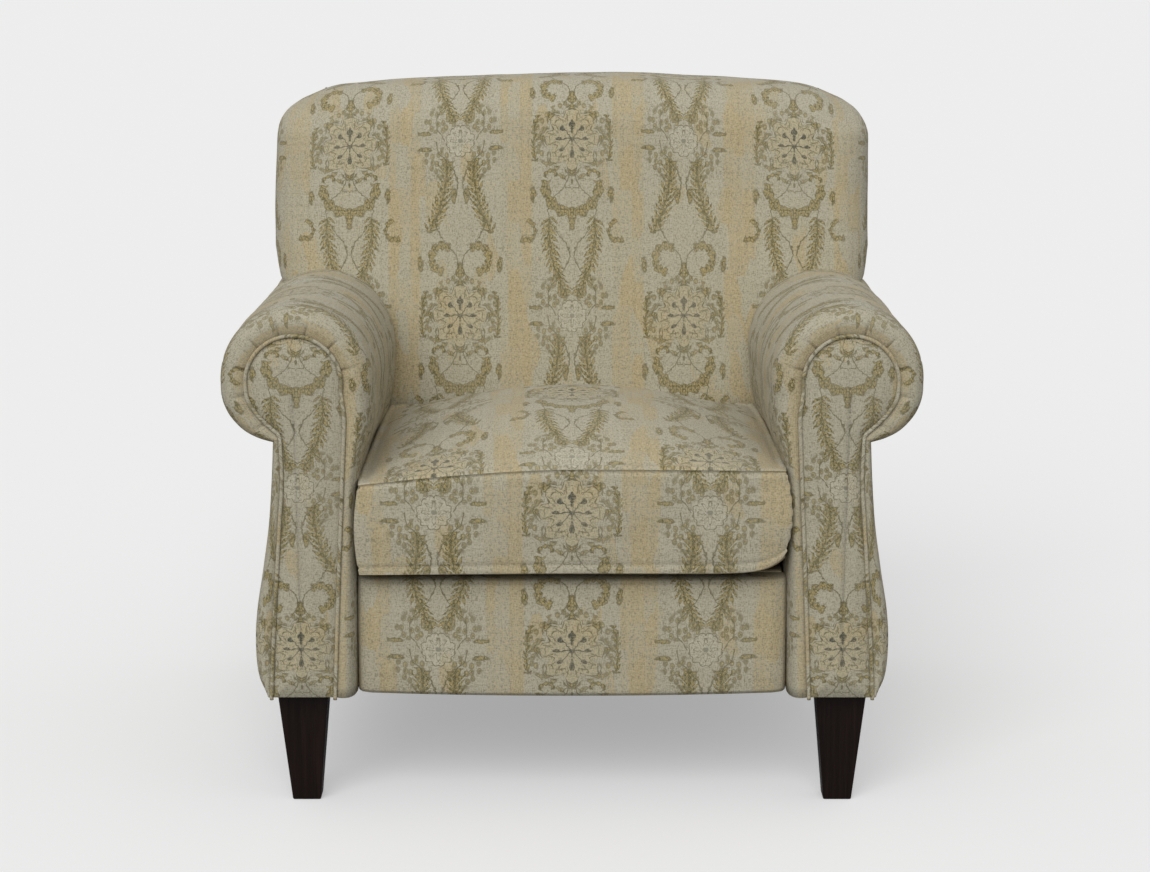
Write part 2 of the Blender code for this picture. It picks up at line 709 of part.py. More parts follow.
def outside_back_cover():
    """Flat cloth panel over the whole rear, following the arms, the ears and the crest."""
    margin = 0.0015
    lower, _ = outer_side_outlines(OUTER_POINTS)
    under, _ = under_curves()
    rim = [p - Vector((margin, 0)) for p in reversed(lower)]
    rim += [at(under, share) - Vector((margin, 0)) for share in (0.83, 0.6, 0.4, 0.2)]
    rim += [on_arc(ROLL_CENTRE, ROLL_RADIUS - margin, angle) for angle in (0.0, 15.0, 30.0, EAR_ANGLE)]
    rim = [towards_rear(p, SEAT_DEPTH) for p in rim]
    for row in back_rows(margin)[4:]:
        rim.append(Vector((row[-1].x, row[-1].z)))
    crest = back_rows(margin)[-1]
    rim += [Vector((p.x, p.z)) for p in reversed(crest[len(crest) // 2 : -1])]
    outline = rim + [Vector((-p.x, p.y)) for p in reversed(rim[:-1])]
    points = [Vector((p.x, rear_depth(p.y), p.y)) for p in outline]
    points += [Vector((p.x, rear_depth(p.y) - CLOTH, p.y)) for p in outline]
    count = len(outline)
    faces = [tuple(range(count)), tuple(reversed(range(count, 2 * count)))]
    faces += [(i, (i + 1) % count, count + (i + 1) % count, count + i) for i in range(count)]
    keep(mesh_object("outside_back_cover", points, faces), PRINT_CLOTH)


APRON_FRONT = 0.021
APRON_BOW = 0.004
APRON_DROP = 0.0035
FRONT_RAIL_FRONT = 0.045


def apron():
    """Padded cloth over the front rail, tucked in between the arms."""
    top = DECK_TOP - CLOTH - TOUCH - 0.0010
    half = SEAT_HALF_WIDTH - 0.0028
    profile = [
        (FRONT_RAIL_FRONT + BOARD / 2, BODY_BOTTOM + 0.0012),
        (APRON_FRONT + 0.014, BODY_BOTTOM - 0.0015),
        (APRON_FRONT + 0.004, BODY_BOTTOM + 0.002),
        (APRON_FRONT + 0.0005, BODY_BOTTOM + 0.014),
        (APRON_FRONT - 0.001, (BODY_BOTTOM + top) / 2),
        (APRON_FRONT + 0.001, top - 0.016),
        (APRON_FRONT + 0.006, top - 0.004),
        (APRON_FRONT + 0.016, top),
        (FRONT_RAIL_FRONT + BOARD, top),
    ]
    shares = (-1.0, -0.985, -0.94, -0.5, 0.0, 0.5, 0.94, 0.985, 1.0)
    tucks = (0.016, 0.006, 0.001, 0.0, 0.0, 0.0, 0.001, 0.006, 0.016)

    def row(depth, height, inset):
        made = []
        for share, tuck in zip(shares, tucks):
            x = (half - inset) * share
            bow = APRON_BOW * (1 - share * share)
            drop = APRON_DROP * (1 - share * share) if height < RAIL_BOTTOM else 0.0
            made.append(Vector((x, min(depth + tuck - bow + inset, FRONT_RAIL_FRONT + BOARD), height - drop)))
        return made

    cover = [row(depth, height, 0.0) for depth, height in profile]
    cloth_sheet("front_rail_cover", cover, (0, FRONT_RAIL_FRONT + 0.02, (BODY_BOTTOM + top) / 2), PRINT_CLOTH)
    clear = CLOTH + 0.6 * SLIP
    pad_outer, pad_inner = [], []
    for depth, height in profile[3:7]:
        lifted = min(max(height, RAIL_BOTTOM + 0.004), top - 0.010)
        pad_outer.append(row(depth, lifted, clear)[1:-1])
        pad_inner.append([Vector((p.x, FRONT_RAIL_FRONT - TOUCH, p.z)) for p in pad_outer[-1]])
    thick_pad("front_rail_pad", pad_outer, pad_inner, FOAM)


def cushion_point(s, t, share, inset):
    """A place on the cushion: s across and t front to back, -1 to 1, share 0 bottom to 1 top panel."""
    half = CUSHION_HALF_WIDTH - inset
    front = -CUSHION_OVERHANG + inset
    rear = SEAT_DEPTH - 0.0035 - inset
    pinch = 0.004 * (abs(s) ** 6) * (abs(t) ** 6)
    x = s * (half - pinch - CUSHION_REAR_TAPER * (1 + t) / 2)
    y = (front + rear) / 2 + t * ((rear - front) / 2 - pinch)
    sag = CUSHION_LEFT_SAG * max(0.0, -s) ** 1.6 * (0.6 - 0.4 * t) + 0.0025 * max(0.0, s) ** 2
    lift = CUSHION_RIGHT_LIFT * max(0.0, s) ** 8 * max(0.0, -t) ** 5
    top_seam = CUSHION_SEAM_TOP - sag - 0.006 * (1 + t) / 2
    bottom_seam = CUSHION_SEAM_BOTTOM + lift - 0.15 * sag
    if share >= 1.0:
        crown = (1 - abs(s) ** 1.8) * (1 - abs(t) ** 2.8)
        return Vector((x, y, top_seam + CUSHION_CROWN * crown - inset))
    if share <= 0.0:
        belly = (1 - abs(s) ** 7) * (1 - abs(t) ** 7)
        depth = bottom_seam - (DECK_TOP + TOUCH)
        return Vector((x, y, bottom_seam - depth * belly + inset))
    bulge = 0.25 * (CUSHION_OVERHANG - 0.002) * math.sin(math.pi * share)
    if t <= -1.0:
        y -= bulge
    return Vector((x, y, bottom_seam + (top_seam - bottom_seam) * share))


def cushion_shell(name, inset, steps, finish, zip_gap):
    """The cushion's surface: crowned top and bottom panels joined by a band."""
    count = len(steps)
    border = [(i, 0) for i in range(count)]
    border += [(count - 1, j) for j in range(1, count)]
    border += [(i, count - 1) for i in range(count - 2, -1, -1)]
    border += [(0, j) for j in range(count - 2, 0, -1)]
    points, faces, index = [], [], {}

    def add(key, place):
        index[key] = len(points)
        points.append(place)

    for level in (0, 1):
        for i, s in enumerate(steps):
            for j, t in enumerate(steps):
                add((level, i, j), cushion_point(s, t, float(level), inset))
        for i in range(count - 1):
            for j in range(count - 1):
                corner = [(i, j), (i + 1, j), (i + 1, j + 1), (i, j + 1)]
                faces.append(tuple(index[(level, *c)] for c in corner))
    middle = (CUSHION_SEAM_TOP - CUSHION_SEAM_BOTTOM) / 2
    gap = ZIP_WIDTH / 2 / (2 * middle)
    shares = (0.5 - gap, 0.5 + gap) if zip_gap else (0.5,)
    for share in shares:
        for i, j in border:
            add((share, i, j), cushion_point(steps[i], steps[j], share, inset))
    levels = [0, *shares, 1]
    for lower, upper in zip(levels, levels[1:]):
        for k, here in enumerate(border):
            there = border[(k + 1) % len(border)]
            at_rear = here[1] == there[1] == count - 1
            middle_x = (steps[here[0]] + steps[there[0]]) / 2 * (CUSHION_HALF_WIDTH - CUSHION_REAR_TAPER)
            if zip_gap and lower == shares[0] and at_rear and abs(middle_x) < ZIP_LENGTH / 2:
                continue
            faces.append(
                (index[(lower, *here)], index[(lower, *there)], index[(upper, *there)], index[(upper, *here)])
            )
    centre = (0, SEAT_DEPTH / 2, (CUSHION_SEAM_TOP + CUSHION_SEAM_BOTTOM) / 2)
    obj = mesh_object(name, points, faces, centre if zip_gap else None)
    if zip_gap:
        wall = obj.modifiers.new("cloth", "SOLIDIFY")
        wall.thickness = CLOTH
        wall.offset = -1.0
        wall.use_quality_normals = True
    return keep(obj, finish, smooth=True)


def seat_cushion():
    rear_half_width = CUSHION_HALF_WIDTH - CUSHION_REAR_TAPER
    zip_share = ZIP_LENGTH / 2 / rear_half_width
    steps = [-1.0, -0.93, -zip_share, -0.45, 0.0, 0.45, zip_share, 0.93, 1.0]
    cushion_shell("seat_cushion_cover", 0.0, steps, PRINT_CLOTH, True)
    cushion_shell("seat_cushion_core", CLOTH + TOUCH, steps, FOAM, False)
    rear = cushion_point(0.0, 1.0, 0.5, 0.0)
    half_length = ZIP_LENGTH / 2 - 0.0015
    half_width = ZIP_WIDTH / 2 - 0.0024
    low = (-half_length, rear.y - CLOTH, rear.z - half_width)
    high = (half_length, rear.y - 0.2 * CLOTH, rear.z + half_width)
    strip = board("cushion_zip", low, high, ZIP_TAPE)
    for vertex in strip.data.vertices:
        s = (vertex.co.x + strip.location.x) / rear_half_width
        vertex.co.z += cushion_point(s, 1.0, 0.5, 0.0).z - rear.z


def seat_deck():
    """Spring cover, foam and decking cloth under the loose cushion."""
    half = SEAT_HALF_WIDTH - 0.006
    front = FRONT_RAIL_FRONT + BOARD + TOUCH
    rear = SEAT_DEPTH + 0.012
    pad_top = DECK_TOP - CLOTH - TOUCH
    pad_bottom = pad_top - DECK_PAD
    board("deck_pad", (-half, front, pad_bottom), (half, rear, pad_top), FOAM)
    board("deck_cloth", (-half, front, pad_top + TOUCH), (half, rear, DECK_TOP), DECK_CLOTH)


SIDE_RAIL_INNER = LEG_CENTRE_X - BOARD / 2


def timber_frame():
    board_back = BOARD_FRONT + FACING_BOARD
    block_half_x = LEG_TOP_WIDTH / 2 + 0.0005
    block_inner = LEG_CENTRE_X - block_half_x
    block_top = RAIL_BOTTOM + LEG_BLOCK_HEIGHT
    board(
        "front_rail",
        (-block_inner + TOUCH, FRONT_RAIL_FRONT, RAIL_BOTTOM),
        (block_inner - TOUCH, FRONT_RAIL_FRONT + BOARD, RAIL_TOP),
    )
    post_inner = LOWER_BACK_HALF_WIDTH - CLOTH - POST_SETBACK
    board(
        "rear_seat_rail",
        (-post_inner + TOUCH, REAR_SEAT_RAIL_FRONT, RAIL_BOTTOM),
        (post_inner - TOUCH, REAR_SEAT_RAIL_FRONT + BOARD, RAIL_TOP),
    )
    low_tack = rear_depth(RAIL_BOTTOM) - CLOTH - CLOTH_CLEARANCE - BOARD
    board(
        "rear_tack_rail",
        (-post_inner + TOUCH, low_tack, RAIL_BOTTOM),
        (post_inner - TOUCH, low_tack + BOARD, RAIL_BOTTOM + BACK_RAIL_HEIGHT),
    )
    board(
        "back_bottom_rail",
        (-post_inner + TOUCH, REAR_SEAT_RAIL_FRONT, BACK_RAIL_BOTTOM),
        (post_inner - TOUCH, REAR_SEAT_RAIL_FRONT + BOARD, BACK_RAIL_BOTTOM + BACK_RAIL_HEIGHT),
    )
    rear_block_end = REAR_LEG_DEPTH + LEG_TOP_LENGTH / 2 + 0.003
    mirrored_board(
        "side_rail",
        (SIDE_RAIL_INNER, board_back + TOUCH, block_top + TOUCH),
        (SIDE_RAIL_INNER + BOARD, rear_block_end, SIDE_RAIL_TOP),
    )
    arm_rail_bottom = ROLL_CENTRE_Z + 0.003
    mirrored_board(
        "arm_rear_post",
        (SIDE_RAIL_INNER, REAR_SEAT_RAIL_FRONT, SIDE_RAIL_TOP + TOUCH),
        (SIDE_RAIL_INNER + BOARD, REAR_SEAT_RAIL_FRONT + REAR_POST_DEPTH, arm_rail_bottom - TOUCH),
    )
    mirrored_board(
        "arm_top_rail",
        (SIDE_RAIL_INNER - 0.004, board_back + TOUCH, arm_rail_bottom),
        (SIDE_RAIL_INNER + BOARD + 0.004, REAR_SEAT_RAIL_FRONT + REAR_POST_DEPTH, arm_rail_bottom + BOARD),
    )
    back_side_frames(post_inner)
    back_top_rail()
    leg_blocks(board_back, block_half_x, block_top)
    back_straps(post_inner)


def strap_line(height):
    """Depth of the plane that the back's webbing is stretched in."""
    return back_face_depth(LOWER_BACK_HALF_WIDTH, height) + BACK_FOAM + STRAP_SETBACK


def back_side_frames(post_inner):
    """Plywood uprights of the back, standing behind the seat."""
    top = BACK_TOP - TOP_RAIL_DROP
    rear_gap = CLOTH + CLOTH_CLEARANCE
    knee = BACK_RAIL_BOTTOM - 0.008
    outline = [
        (REAR_SEAT_RAIL_FRONT - 0.004, RAIL_BOTTOM),
        (REAR_SEAT_RAIL_FRONT - 0.004, knee),
        (strap_line(SEAT_LINE), SEAT_LINE),
        (strap_line(top), top),
        (rear_depth(top) - rear_gap, top),
        (rear_depth(RAIL_BOTTOM) - rear_gap, RAIL_BOTTOM),
    ]
    for side, sign in SIDES:
        start = post_inner if sign > 0 else -post_inner - BOARD
        plate(f"back_side_frame_{side}", outline, start, BOARD, FRAME_WOOD, plane="YZ")


def back_top_rail():
    low = BACK_TOP - TOP_RAIL_DROP + TOUCH
    half = BACK_HALF_WIDTH - TOP_RAIL_END
    arch = [half * share for share in (1.0, 0.75, 0.5, 0.25, 0.0, -0.25, -0.5, -0.75, -1.0)]
    top = BACK_TOP - TOP_RAIL_COVER
    outline = [(-half, low), (half, low)]
    outline += [(x, top - BACK_TOP_CROWN * x * x - 0.014 * (abs(x) / half) ** 6) for x in arch]
    start = rear_depth(low) - CLOTH - CLOTH_CLEARANCE - BOARD
    plate("back_top_rail", outline, start, BOARD, FRAME_WOOD)


def back_straps(post_inner):
    """Webbing stretched across the uprights behind the foam."""
    half = post_inner + BOARD - 0.002
    lean = math.atan(BACK_RAKE)
    for i in range(STRAP_COUNT):
        height = STRAP_LOW + (STRAP_HIGH - STRAP_LOW) * i / (STRAP_COUNT - 1)
        depth = strap_line(height) - (STRAP_THICKNESS / 2 + TOUCH) / math.cos(lean)
        strap = board(
            f"back_strap_{i + 1}",
            (-half, depth - STRAP_THICKNESS / 2, height - STRAP_WIDTH / 2),
            (half, depth + STRAP_THICKNESS / 2, height + STRAP_WIDTH / 2),
            WEBBING,
        )
        strap.rotation_euler.x = -lean


def leg_blocks(board_back, half_x, block_top):
    """Corner blocks over the legs, each bored for its leg's bolt."""
    for place, depth in (("front", FRONT_LEG_DEPTH), ("rear", REAR_LEG_DEPTH)):
        for side, sign in SIDES:
            start = depth - LEG_TOP_LENGTH / 2 - 0.003
            if place == "front":
                start = max(start, board_back + TOUCH)
            centre = sign * LEG_CENTRE_X
            block = board(
                f"leg_block_{place}_{side}",
                (centre - half_x, start, RAIL_BOTTOM),
                (centre + half_x, depth + LEG_TOP_LENGTH / 2 + 0.003, block_top),
            )
            cutter = rod(
                f"bolt_hole_{place}_{side}", (centre, depth), RAIL_BOTTOM - 0.01, block_top + 0.01,
                BOLT_RADIUS + TOUCH,
            )
            hide_cutter(cutter)
            bore(block, cutter)


def rod(name, centre, low, high, radius, sides=12):
    bpy.ops.mesh.primitive_cylinder_add(
        vertices=sides, radius=radius, depth=high - low, location=(*centre, (low + high) / 2)
    )
    obj = bpy.context.object
    obj.name = obj.data.name = name
    return obj


def hide_cutter(obj):
    for collection in list(obj.users_collection):
        collection.objects.unlink(obj)
    CUTTERS.objects.link(obj)
    obj.hide_render = True
    obj.display_type = "WIRE"


def bore(target, cutter):
    cut = target.modifiers.new("bore", "BOOLEAN")
    cut.operation = "DIFFERENCE"
    cut.solver = "EXACT"
    cut.object = cutter


def legs_and_bolts():
    """Square tapered legs, drawn up to their blocks by threaded bolts."""
    bolt_low = RAIL_BOTTOM - BOLT_REACH
    bolt_high = RAIL_BOTTOM + LEG_BLOCK_HEIGHT - TOUCH
    for place, depth in (("front", FRONT_LEG_DEPTH), ("rear", REAR_LEG_DEPTH)):
        for side, sign in SIDES:
            leg = tapered_leg(f"leg_{place}_{side}", sign * LEG_CENTRE_X, depth, place == "rear")
            hole = rod(
                f"leg_hole_{place}_{side}", (sign * LEG_CENTRE_X, depth), bolt_low - 0.002,
                RAIL_BOTTOM + 0.01, BOLT_RADIUS + TOUCH,
            )
            hide_cutter(hole)
            bore(leg, hole)
            bolt = rod(
                f"leg_bolt_{place}_{side}", (sign * LEG_CENTRE_X, depth), bolt_low, bolt_high, BOLT_RADIUS
            )
            keep(bolt, STEEL)


def tapered_leg(name, x, depth, splayed):
    top = RAIL_BOTTOM - TOUCH
    bpy.ops.mesh.primitive_cube_add(size=1.0, location=(x, depth, top / 2))
    leg = bpy.context.object
    leg.name = leg.data.name = name
    lean = REAR_LEG_SPLAY if splayed else FRONT_LEG_LEAN
    inward = -0.003 * math.copysign(1.0, x)
    for vertex in leg.data.vertices:
        at_top = vertex.co.z > 0
        width = LEG_TOP_WIDTH if at_top else LEG_FOOT_WIDTH
        length = LEG_TOP_LENGTH if at_top else LEG_FOOT_LENGTH
        vertex.co.x = vertex.co.x * width + (0.0 if at_top else inward)
        vertex.co.y = vertex.co.y * length + (0.0 if at_top else lean)
        vertex.co.z *= top
    edges = leg.modifiers.new("eased edges", "BEVEL")
    edges.width = LEG_BEVEL
    edges.segments = 2
    edges.limit_method = "ANGLE"
    return keep(leg, LEG_WOOD, smooth=True)


SPRING_RISE = 0.016
SPRING_SEAT = RAIL_TOP + 0.0023


def seat_springs():
    """Sinuous wires from the front rail to the rear seat rail, arched under the deck."""
    start = FRONT_RAIL_FRONT + BOARD / 2
    end = REAR_SEAT_RAIL_FRONT + BOARD / 2
    rise = DECK_TOP - CLOTH - 2 * TOUCH - DECK_PAD - WIRE_RADIUS - (SPRING_SEAT + WIRE_RADIUS)
    for i in range(SPRING_COUNT):
        x = (i - (SPRING_COUNT - 1) / 2) * SPRING_PITCH
        path = []
        gap = (end - start) / (SPRING_BARS - 1)
        for bar in range(SPRING_BARS):
            depth = start + gap * bar
            way = 1 if bar % 2 else -1
            inner = SPRING_HALF_WIDTH - 0.35 * gap / 2
            for share, back_by in ((-1, 0.0), (1, 0.0), (1.0, 0.5)):
                if share == 1 and back_by and bar == SPRING_BARS - 1:
                    continue
                reach = inner if not back_by else SPRING_HALF_WIDTH + 0.004
                y = depth + back_by * gap
                height = SPRING_SEAT + WIRE_RADIUS + rise * arch_share(y, start, end)
                path.append(Vector((x + way * share * reach, y, height)))
        tube(f"seat_spring_{i + 1}", path, WIRE_RADIUS, 1, STEEL)
    spring_clip_strip("spring_clip_strip_front", start)
    spring_clip_strip("spring_clip_strip_rear", end)


def arch_share(depth, start, end):
    return math.sin(math.pi * (depth - start) / (end - start)) ** 0.6 if start < depth < end else 0.0


def spring_clip_strip(name, depth):
    """Pressed steel strip with one saddle over the end bar of each wire."""
    low = RAIL_TOP + TOUCH
    top = SPRING_SEAT + 2 * WIRE_RADIUS + TOUCH
    room = WIRE_RADIUS + TOUCH
    reach = (SPRING_COUNT - 1) / 2 * SPRING_PITCH + CLIP_WIDTH
    strip = board(name, (-reach, depth - 0.009, low), (reach, depth + 0.009, low + CLIP_WALL), STEEL)
    for i in range(SPRING_COUNT):
        x = (i - (SPRING_COUNT - 1) / 2) * SPRING_PITCH
        half = CLIP_WIDTH / 2
        saddle = board(
            f"{name}_saddle_{i}",
            (x - half, depth - room - CLIP_WALL, low + CLIP_WALL / 2),
            (x + half, depth + room + CLIP_WALL, top + CLIP_WALL),
        )
        tunnel = board(
            f"{name}_tunnel_{i}",
            (x - CLIP_WIDTH, depth - room, low + CLIP_WALL),
            (x + CLIP_WIDTH, depth + room, top),
        )
        for cutter, operation in ((saddle, "UNION"), (tunnel, "DIFFERENCE")):
            hide_cutter(cutter)
            cut = strip.modifiers.new(operation.lower(), "BOOLEAN")
            cut.operation = operation
            cut.solver = "EXACT"
            cut.object = cutter


def dust_cover():
    """Black cloth under the frame, cut away round the four legs."""
    reach_x = ROLL_CENTRE_X + 0.034
    front, rear = FRONT_RAIL_FRONT + BOARD / 2 + 0.003, rear_depth(RAIL_BOTTOM) - 0.010
    leg_inner = LEG_CENTRE_X - LEG_TOP_WIDTH / 2 - 0.004
    front_clear = FRONT_LEG_DEPTH + LEG_TOP_LENGTH / 2 + 0.006
    rear_clear = REAR_LEG_DEPTH - LEG_TOP_LENGTH / 2 - 0.006
    half = [
        (leg_inner, front), (leg_inner, front_clear), (reach_x, front_clear),
        (reach_x, rear_clear), (leg_inner, rear_clear), (leg_inner, rear),
    ]
    outline = half + [(-x, y) for x, y in reversed(half)]
    thickness = 0.0012
    plate("dust_cover", outline, RAIL_BOTTOM - TOUCH - thickness, thickness, BLACK_CLOTH, plane="XY")


def centre_chair():
    """Moves the whole chair so that its middle stands over the origin."""
    bpy.context.view_layer.update()
    graph = bpy.context.evaluated_depsgraph_get()
    low, high = Vector((9, 9, 9)), Vector((-9, -9, -9))
    for obj in CHAIR.objects:
        seen = obj.evaluated_get(graph)
        mesh = seen.to_mesh()
        for vertex in mesh.vertices:
            place = seen.matrix_world @ vertex.co
            low = Vector(map(min, low, place))
            high = Vector(map(max, high, place))
        seen.to_mesh_clear()
    shift = Vector((-(low.x + high.x) / 2, -(low.y + high.y) / 2, -low.z))
    for obj in [*CHAIR.objects, *CUTTERS.objects]:
        obj.location += shift
    bpy.context.view_layer.update()
    print("box", [round(v, 5) for v in high - low], "moved", [round(v, 5) for v in shift])


def main():
    for side, sign in SIDES:
        arm_front_board(side, sign)
        arm_pad(side, sign)
        arm_cover(side, sign)
        outside_arm_cover(side, sign)
        arm_facing(side, sign)
        arm_welt(side, sign)
    back_cover()
    back_pad()
    outside_back_cover()
    apron()
    seat_cushion()
    seat_deck()
    timber_frame()
    seat_springs()
    legs_and_bolts()
    dust_cover()
    centre_chair()


main()
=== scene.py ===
# Rolled-arm armchair in a printed linen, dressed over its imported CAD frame.
# Depths below count rearwards from the plane of the two arm facings, as a maker measures them.
import math

import bmesh
import bpy
import numpy as np
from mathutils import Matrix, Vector, noise


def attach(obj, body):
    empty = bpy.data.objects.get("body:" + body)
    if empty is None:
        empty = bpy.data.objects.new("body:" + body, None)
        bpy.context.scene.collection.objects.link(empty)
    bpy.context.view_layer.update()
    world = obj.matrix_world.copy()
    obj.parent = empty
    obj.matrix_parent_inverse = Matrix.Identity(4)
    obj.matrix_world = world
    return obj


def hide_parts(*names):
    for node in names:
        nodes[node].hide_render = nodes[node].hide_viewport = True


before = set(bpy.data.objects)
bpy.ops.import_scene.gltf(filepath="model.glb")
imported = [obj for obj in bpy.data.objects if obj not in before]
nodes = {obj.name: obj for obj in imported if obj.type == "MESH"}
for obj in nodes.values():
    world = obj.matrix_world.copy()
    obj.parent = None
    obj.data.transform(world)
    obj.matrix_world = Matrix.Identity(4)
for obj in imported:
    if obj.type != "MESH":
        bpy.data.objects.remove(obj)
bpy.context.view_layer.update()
bpy.ops.object.select_all(action="DESELECT")
print("frame loaded:", len(nodes), "nodes")

facingPlane = -0.3964  # where depth 0 lies in the frame
clothWall = 0.0018  # the cloth with its lining
seamEase = 0.0004  # how far the covers stop short of the rear plane
weave = {"across": 0.350, "up": 0.500}  # one full repeat of the print


# sums on shader sockets, written as plain expressions
class Wire:
    def __init__(self, plan, socket):
        self.plan, self.socket = plan, socket

    def maths(self, operation, *sides):
        return self.plan.add("ShaderNodeMath", {"operation": operation}, dict(enumerate(sides)))

    def __add__(self, other):
        return self.maths("ADD", self, other)

    def __radd__(self, other):
        return self.maths("ADD", other, self)

    def __sub__(self, other):
        return self.maths("SUBTRACT", self, other)

    def __rsub__(self, other):
        return self.maths("SUBTRACT", other, self)

    def __mul__(self, other):
        return self.maths("MULTIPLY", self, other)

    def __rmul__(self, other):
        return self.maths("MULTIPLY", other, self)

    def __truediv__(self, other):
        return self.maths("DIVIDE", self, other)

    def __neg__(self):
        return self.maths("MULTIPLY", self, -1.0)

    def __abs__(self):
        return self.maths("ABSOLUTE", self)

    def __mod__(self, other):
        return self.maths("FLOORED_MODULO", self, other)

    def __pow__(self, other):
        return self.maths("POWER", self, other)


class Plan:
    # the nodes of one new material or world
    def __init__(self, owner):
        owner.use_nodes = True
        self.owner, self.tree = owner, owner.node_tree
        self.shader = self.tree.nodes.get("Principled BSDF") or self.tree.nodes["Background"]

    # one new node: its type, its settings, then the values or links of its sockets
    def add(self, kind, settings=None, sockets=None, output=0):
        node = self.tree.nodes.new(kind)
        for name, value in (settings or {}).items():
            if name == "stops":
                self.setStops(node.color_ramp, value)
            else:
                setattr(node, name, value)
        for name, value in (sockets or {}).items():
            self.feed(node.inputs[name], value)
        return Wire(self, node.outputs[output])

    def setStops(self, ramp, stops):
        while len(ramp.elements) < len(stops):
            ramp.elements.new(0.5)
        for element, (place, colour) in zip(ramp.elements, stops):
            element.position = place
            element.color = (*colour, 1.0)

    def feed(self, socket, value):
        if isinstance(value, Wire):
            self.tree.links.new(value.socket, socket)
        else:
            socket.default_value = value

    def set(self, **sockets):
        for name, value in sockets.items():
            self.feed(self.shader.inputs[name.replace("_", " ")], value)

    def show(self, lighting, seen):
        # the camera sees one surface, and the light meets the other
        cameraRay = self.add("ShaderNodeLightPath")
        both = self.add("ShaderNodeMixShader", {}, {0: cameraRay, 1: lighting, 2: seen})
        output = next(node for node in self.tree.nodes if node.type.startswith("OUTPUT"))
        self.tree.links.new(both.socket, output.inputs["Surface"])

    def paint(self, under, over, mask):
        return self.add(
            "ShaderNodeMix", {"data_type": "RGBA"}, {0: mask, 6: under, 7: over}, output=2
        )

    def stretched(self, vector, scale):
        return self.add("ShaderNodeVectorMath", {"operation": "MULTIPLY"}, {0: vector, 1: scale})

    def grain(self, vector, scale, detail=2.0, rough=0.5, flat=False):
        sockets = {"Vector": vector, "Scale": scale, "Detail": detail, "Roughness": rough}
        return self.add(
            "ShaderNodeTexNoise", {"noise_dimensions": "2D" if flat else "3D"}, sockets
        )

    def cells(self, vector, stretch, randomness, settings=None, output=0):
        kinds = {"voronoi_dimensions": "2D", **(settings or {})}
        sockets = {"Vector": self.stretched(vector, stretch), "Scale": 1.0, "Randomness": randomness}
        return self.add("ShaderNodeTexVoronoi", kinds, sockets, output)

    def ramp(self, value, low, high, first=0.0, last=1.0):
        sockets = {0: value, 1: low, 2: high, 3: first, 4: last}
        return self.add("ShaderNodeMapRange", {"interpolation_type": "SMOOTHSTEP"}, sockets)

    def bump(self, height, strength, distance):
        sockets = {"Height": height, "Strength": strength, "Distance": distance}
        return self.add("ShaderNodeBump", {}, sockets)


def tone(red, green, blue):
    # from the 0 to 255 of a shade card to linear light
    parts = [part / 255 for part in (red, green, blue)]
    linear = [v / 12.92 if v <= 0.04045 else ((v + 0.055) / 1.055) ** 2.4 for v in parts]
    return (*linear, 1.0)


def smaller(first, *rest):
    for other in rest:
        first = first.maths("MINIMUM", first, other)
    return first


def larger(first, *rest):
    for other in rest:
        first = first.maths("MAXIMUM", first, other)
    return first


def within(edge, soft=0.0006):
    return edge.plan.ramp(edge, -soft, soft, 1.0, 0.0)


def sine(wire):
    return wire.maths("SINE", wire)


# tones of the printed linen, and how rough it is
linen = {
    "ground": tone(186, 180, 158),
    "groundDark": tone(128, 121, 98),
    "gold": tone(190, 169, 122),
    "cream": tone(192, 175, 132),
    "leaf": tone(154, 138, 84),
    "leafGold": tone(184, 163, 98),
    "leafDark": tone(88, 81, 44),
    "ink": tone(48, 55, 46),
    "pale": tone(208, 203, 182),
    "roughness": 0.88,
}


# measures of the drawn ornament, counted from the middle of a rosette
ornament = {
    "waver": 0.0085, "waverGrain": 85.0, "waverShift": (3.1, 1.7, 0.0),
    "petalAt": 0.0204, "petalLength": 0.0053, "petalWidth": 0.0037,
    "stalkWidth": 0.0008, "stalkFrom": 0.0035, "stalkTo": 0.0255, "eye": 0.0036,
    "medallion": 0.0330, "scallop": 0.0105, "innerRing": 0.0085, "outerRing": 0.0050,
    "ribWidth": 0.0005, "ribFrom": 0.0255, "ribShort": 0.0030,
    "budFrom": 0.0440, "budTo": 0.0530, "budTip": 0.0540,
    "line": 0.0006, "stem": 0.0007, "leafSlant": 1.15,
    "star": 0.0105, "starPoint": 0.0044, "starEye": 0.0030, "starField": 0.0235,
    "starRing": 0.0195, "starWave": 0.0030, "crossFrom": 0.024, "crossTo": 0.062,
    "flowerBelow": 0.0600, "flower": 0.0078, "flowerPetal": 0.0050, "flowerEye": 0.0026,
    "wreathFrom": 0.0062, "wreathTo": 0.0570, "sprayCells": (118.0, 88.0, 1.0),
    "veinCells": (330.0, 250.0, 1.0), "ringTremble": 0.0022,
    "vineAt": 0.0210, "vineSwing": 0.0170, "vineWave": 0.118, "vineFrom": 0.050, "vineWidth": 0.0008,
}
# wheat-ears: start, end, leaf width, pitch of the leaves, bow
garlands = (
    ((0.0400, -0.112), (0.0115, -0.222), 0.0120, 0.0098, 3.4),
    ((0.0445, 0.118), (0.0180, 0.222), 0.0125, 0.0102, -3.4),
    ((0.0600, -0.030), (0.0560, 0.034), 0.0050, 0.0094, 3.0),
)
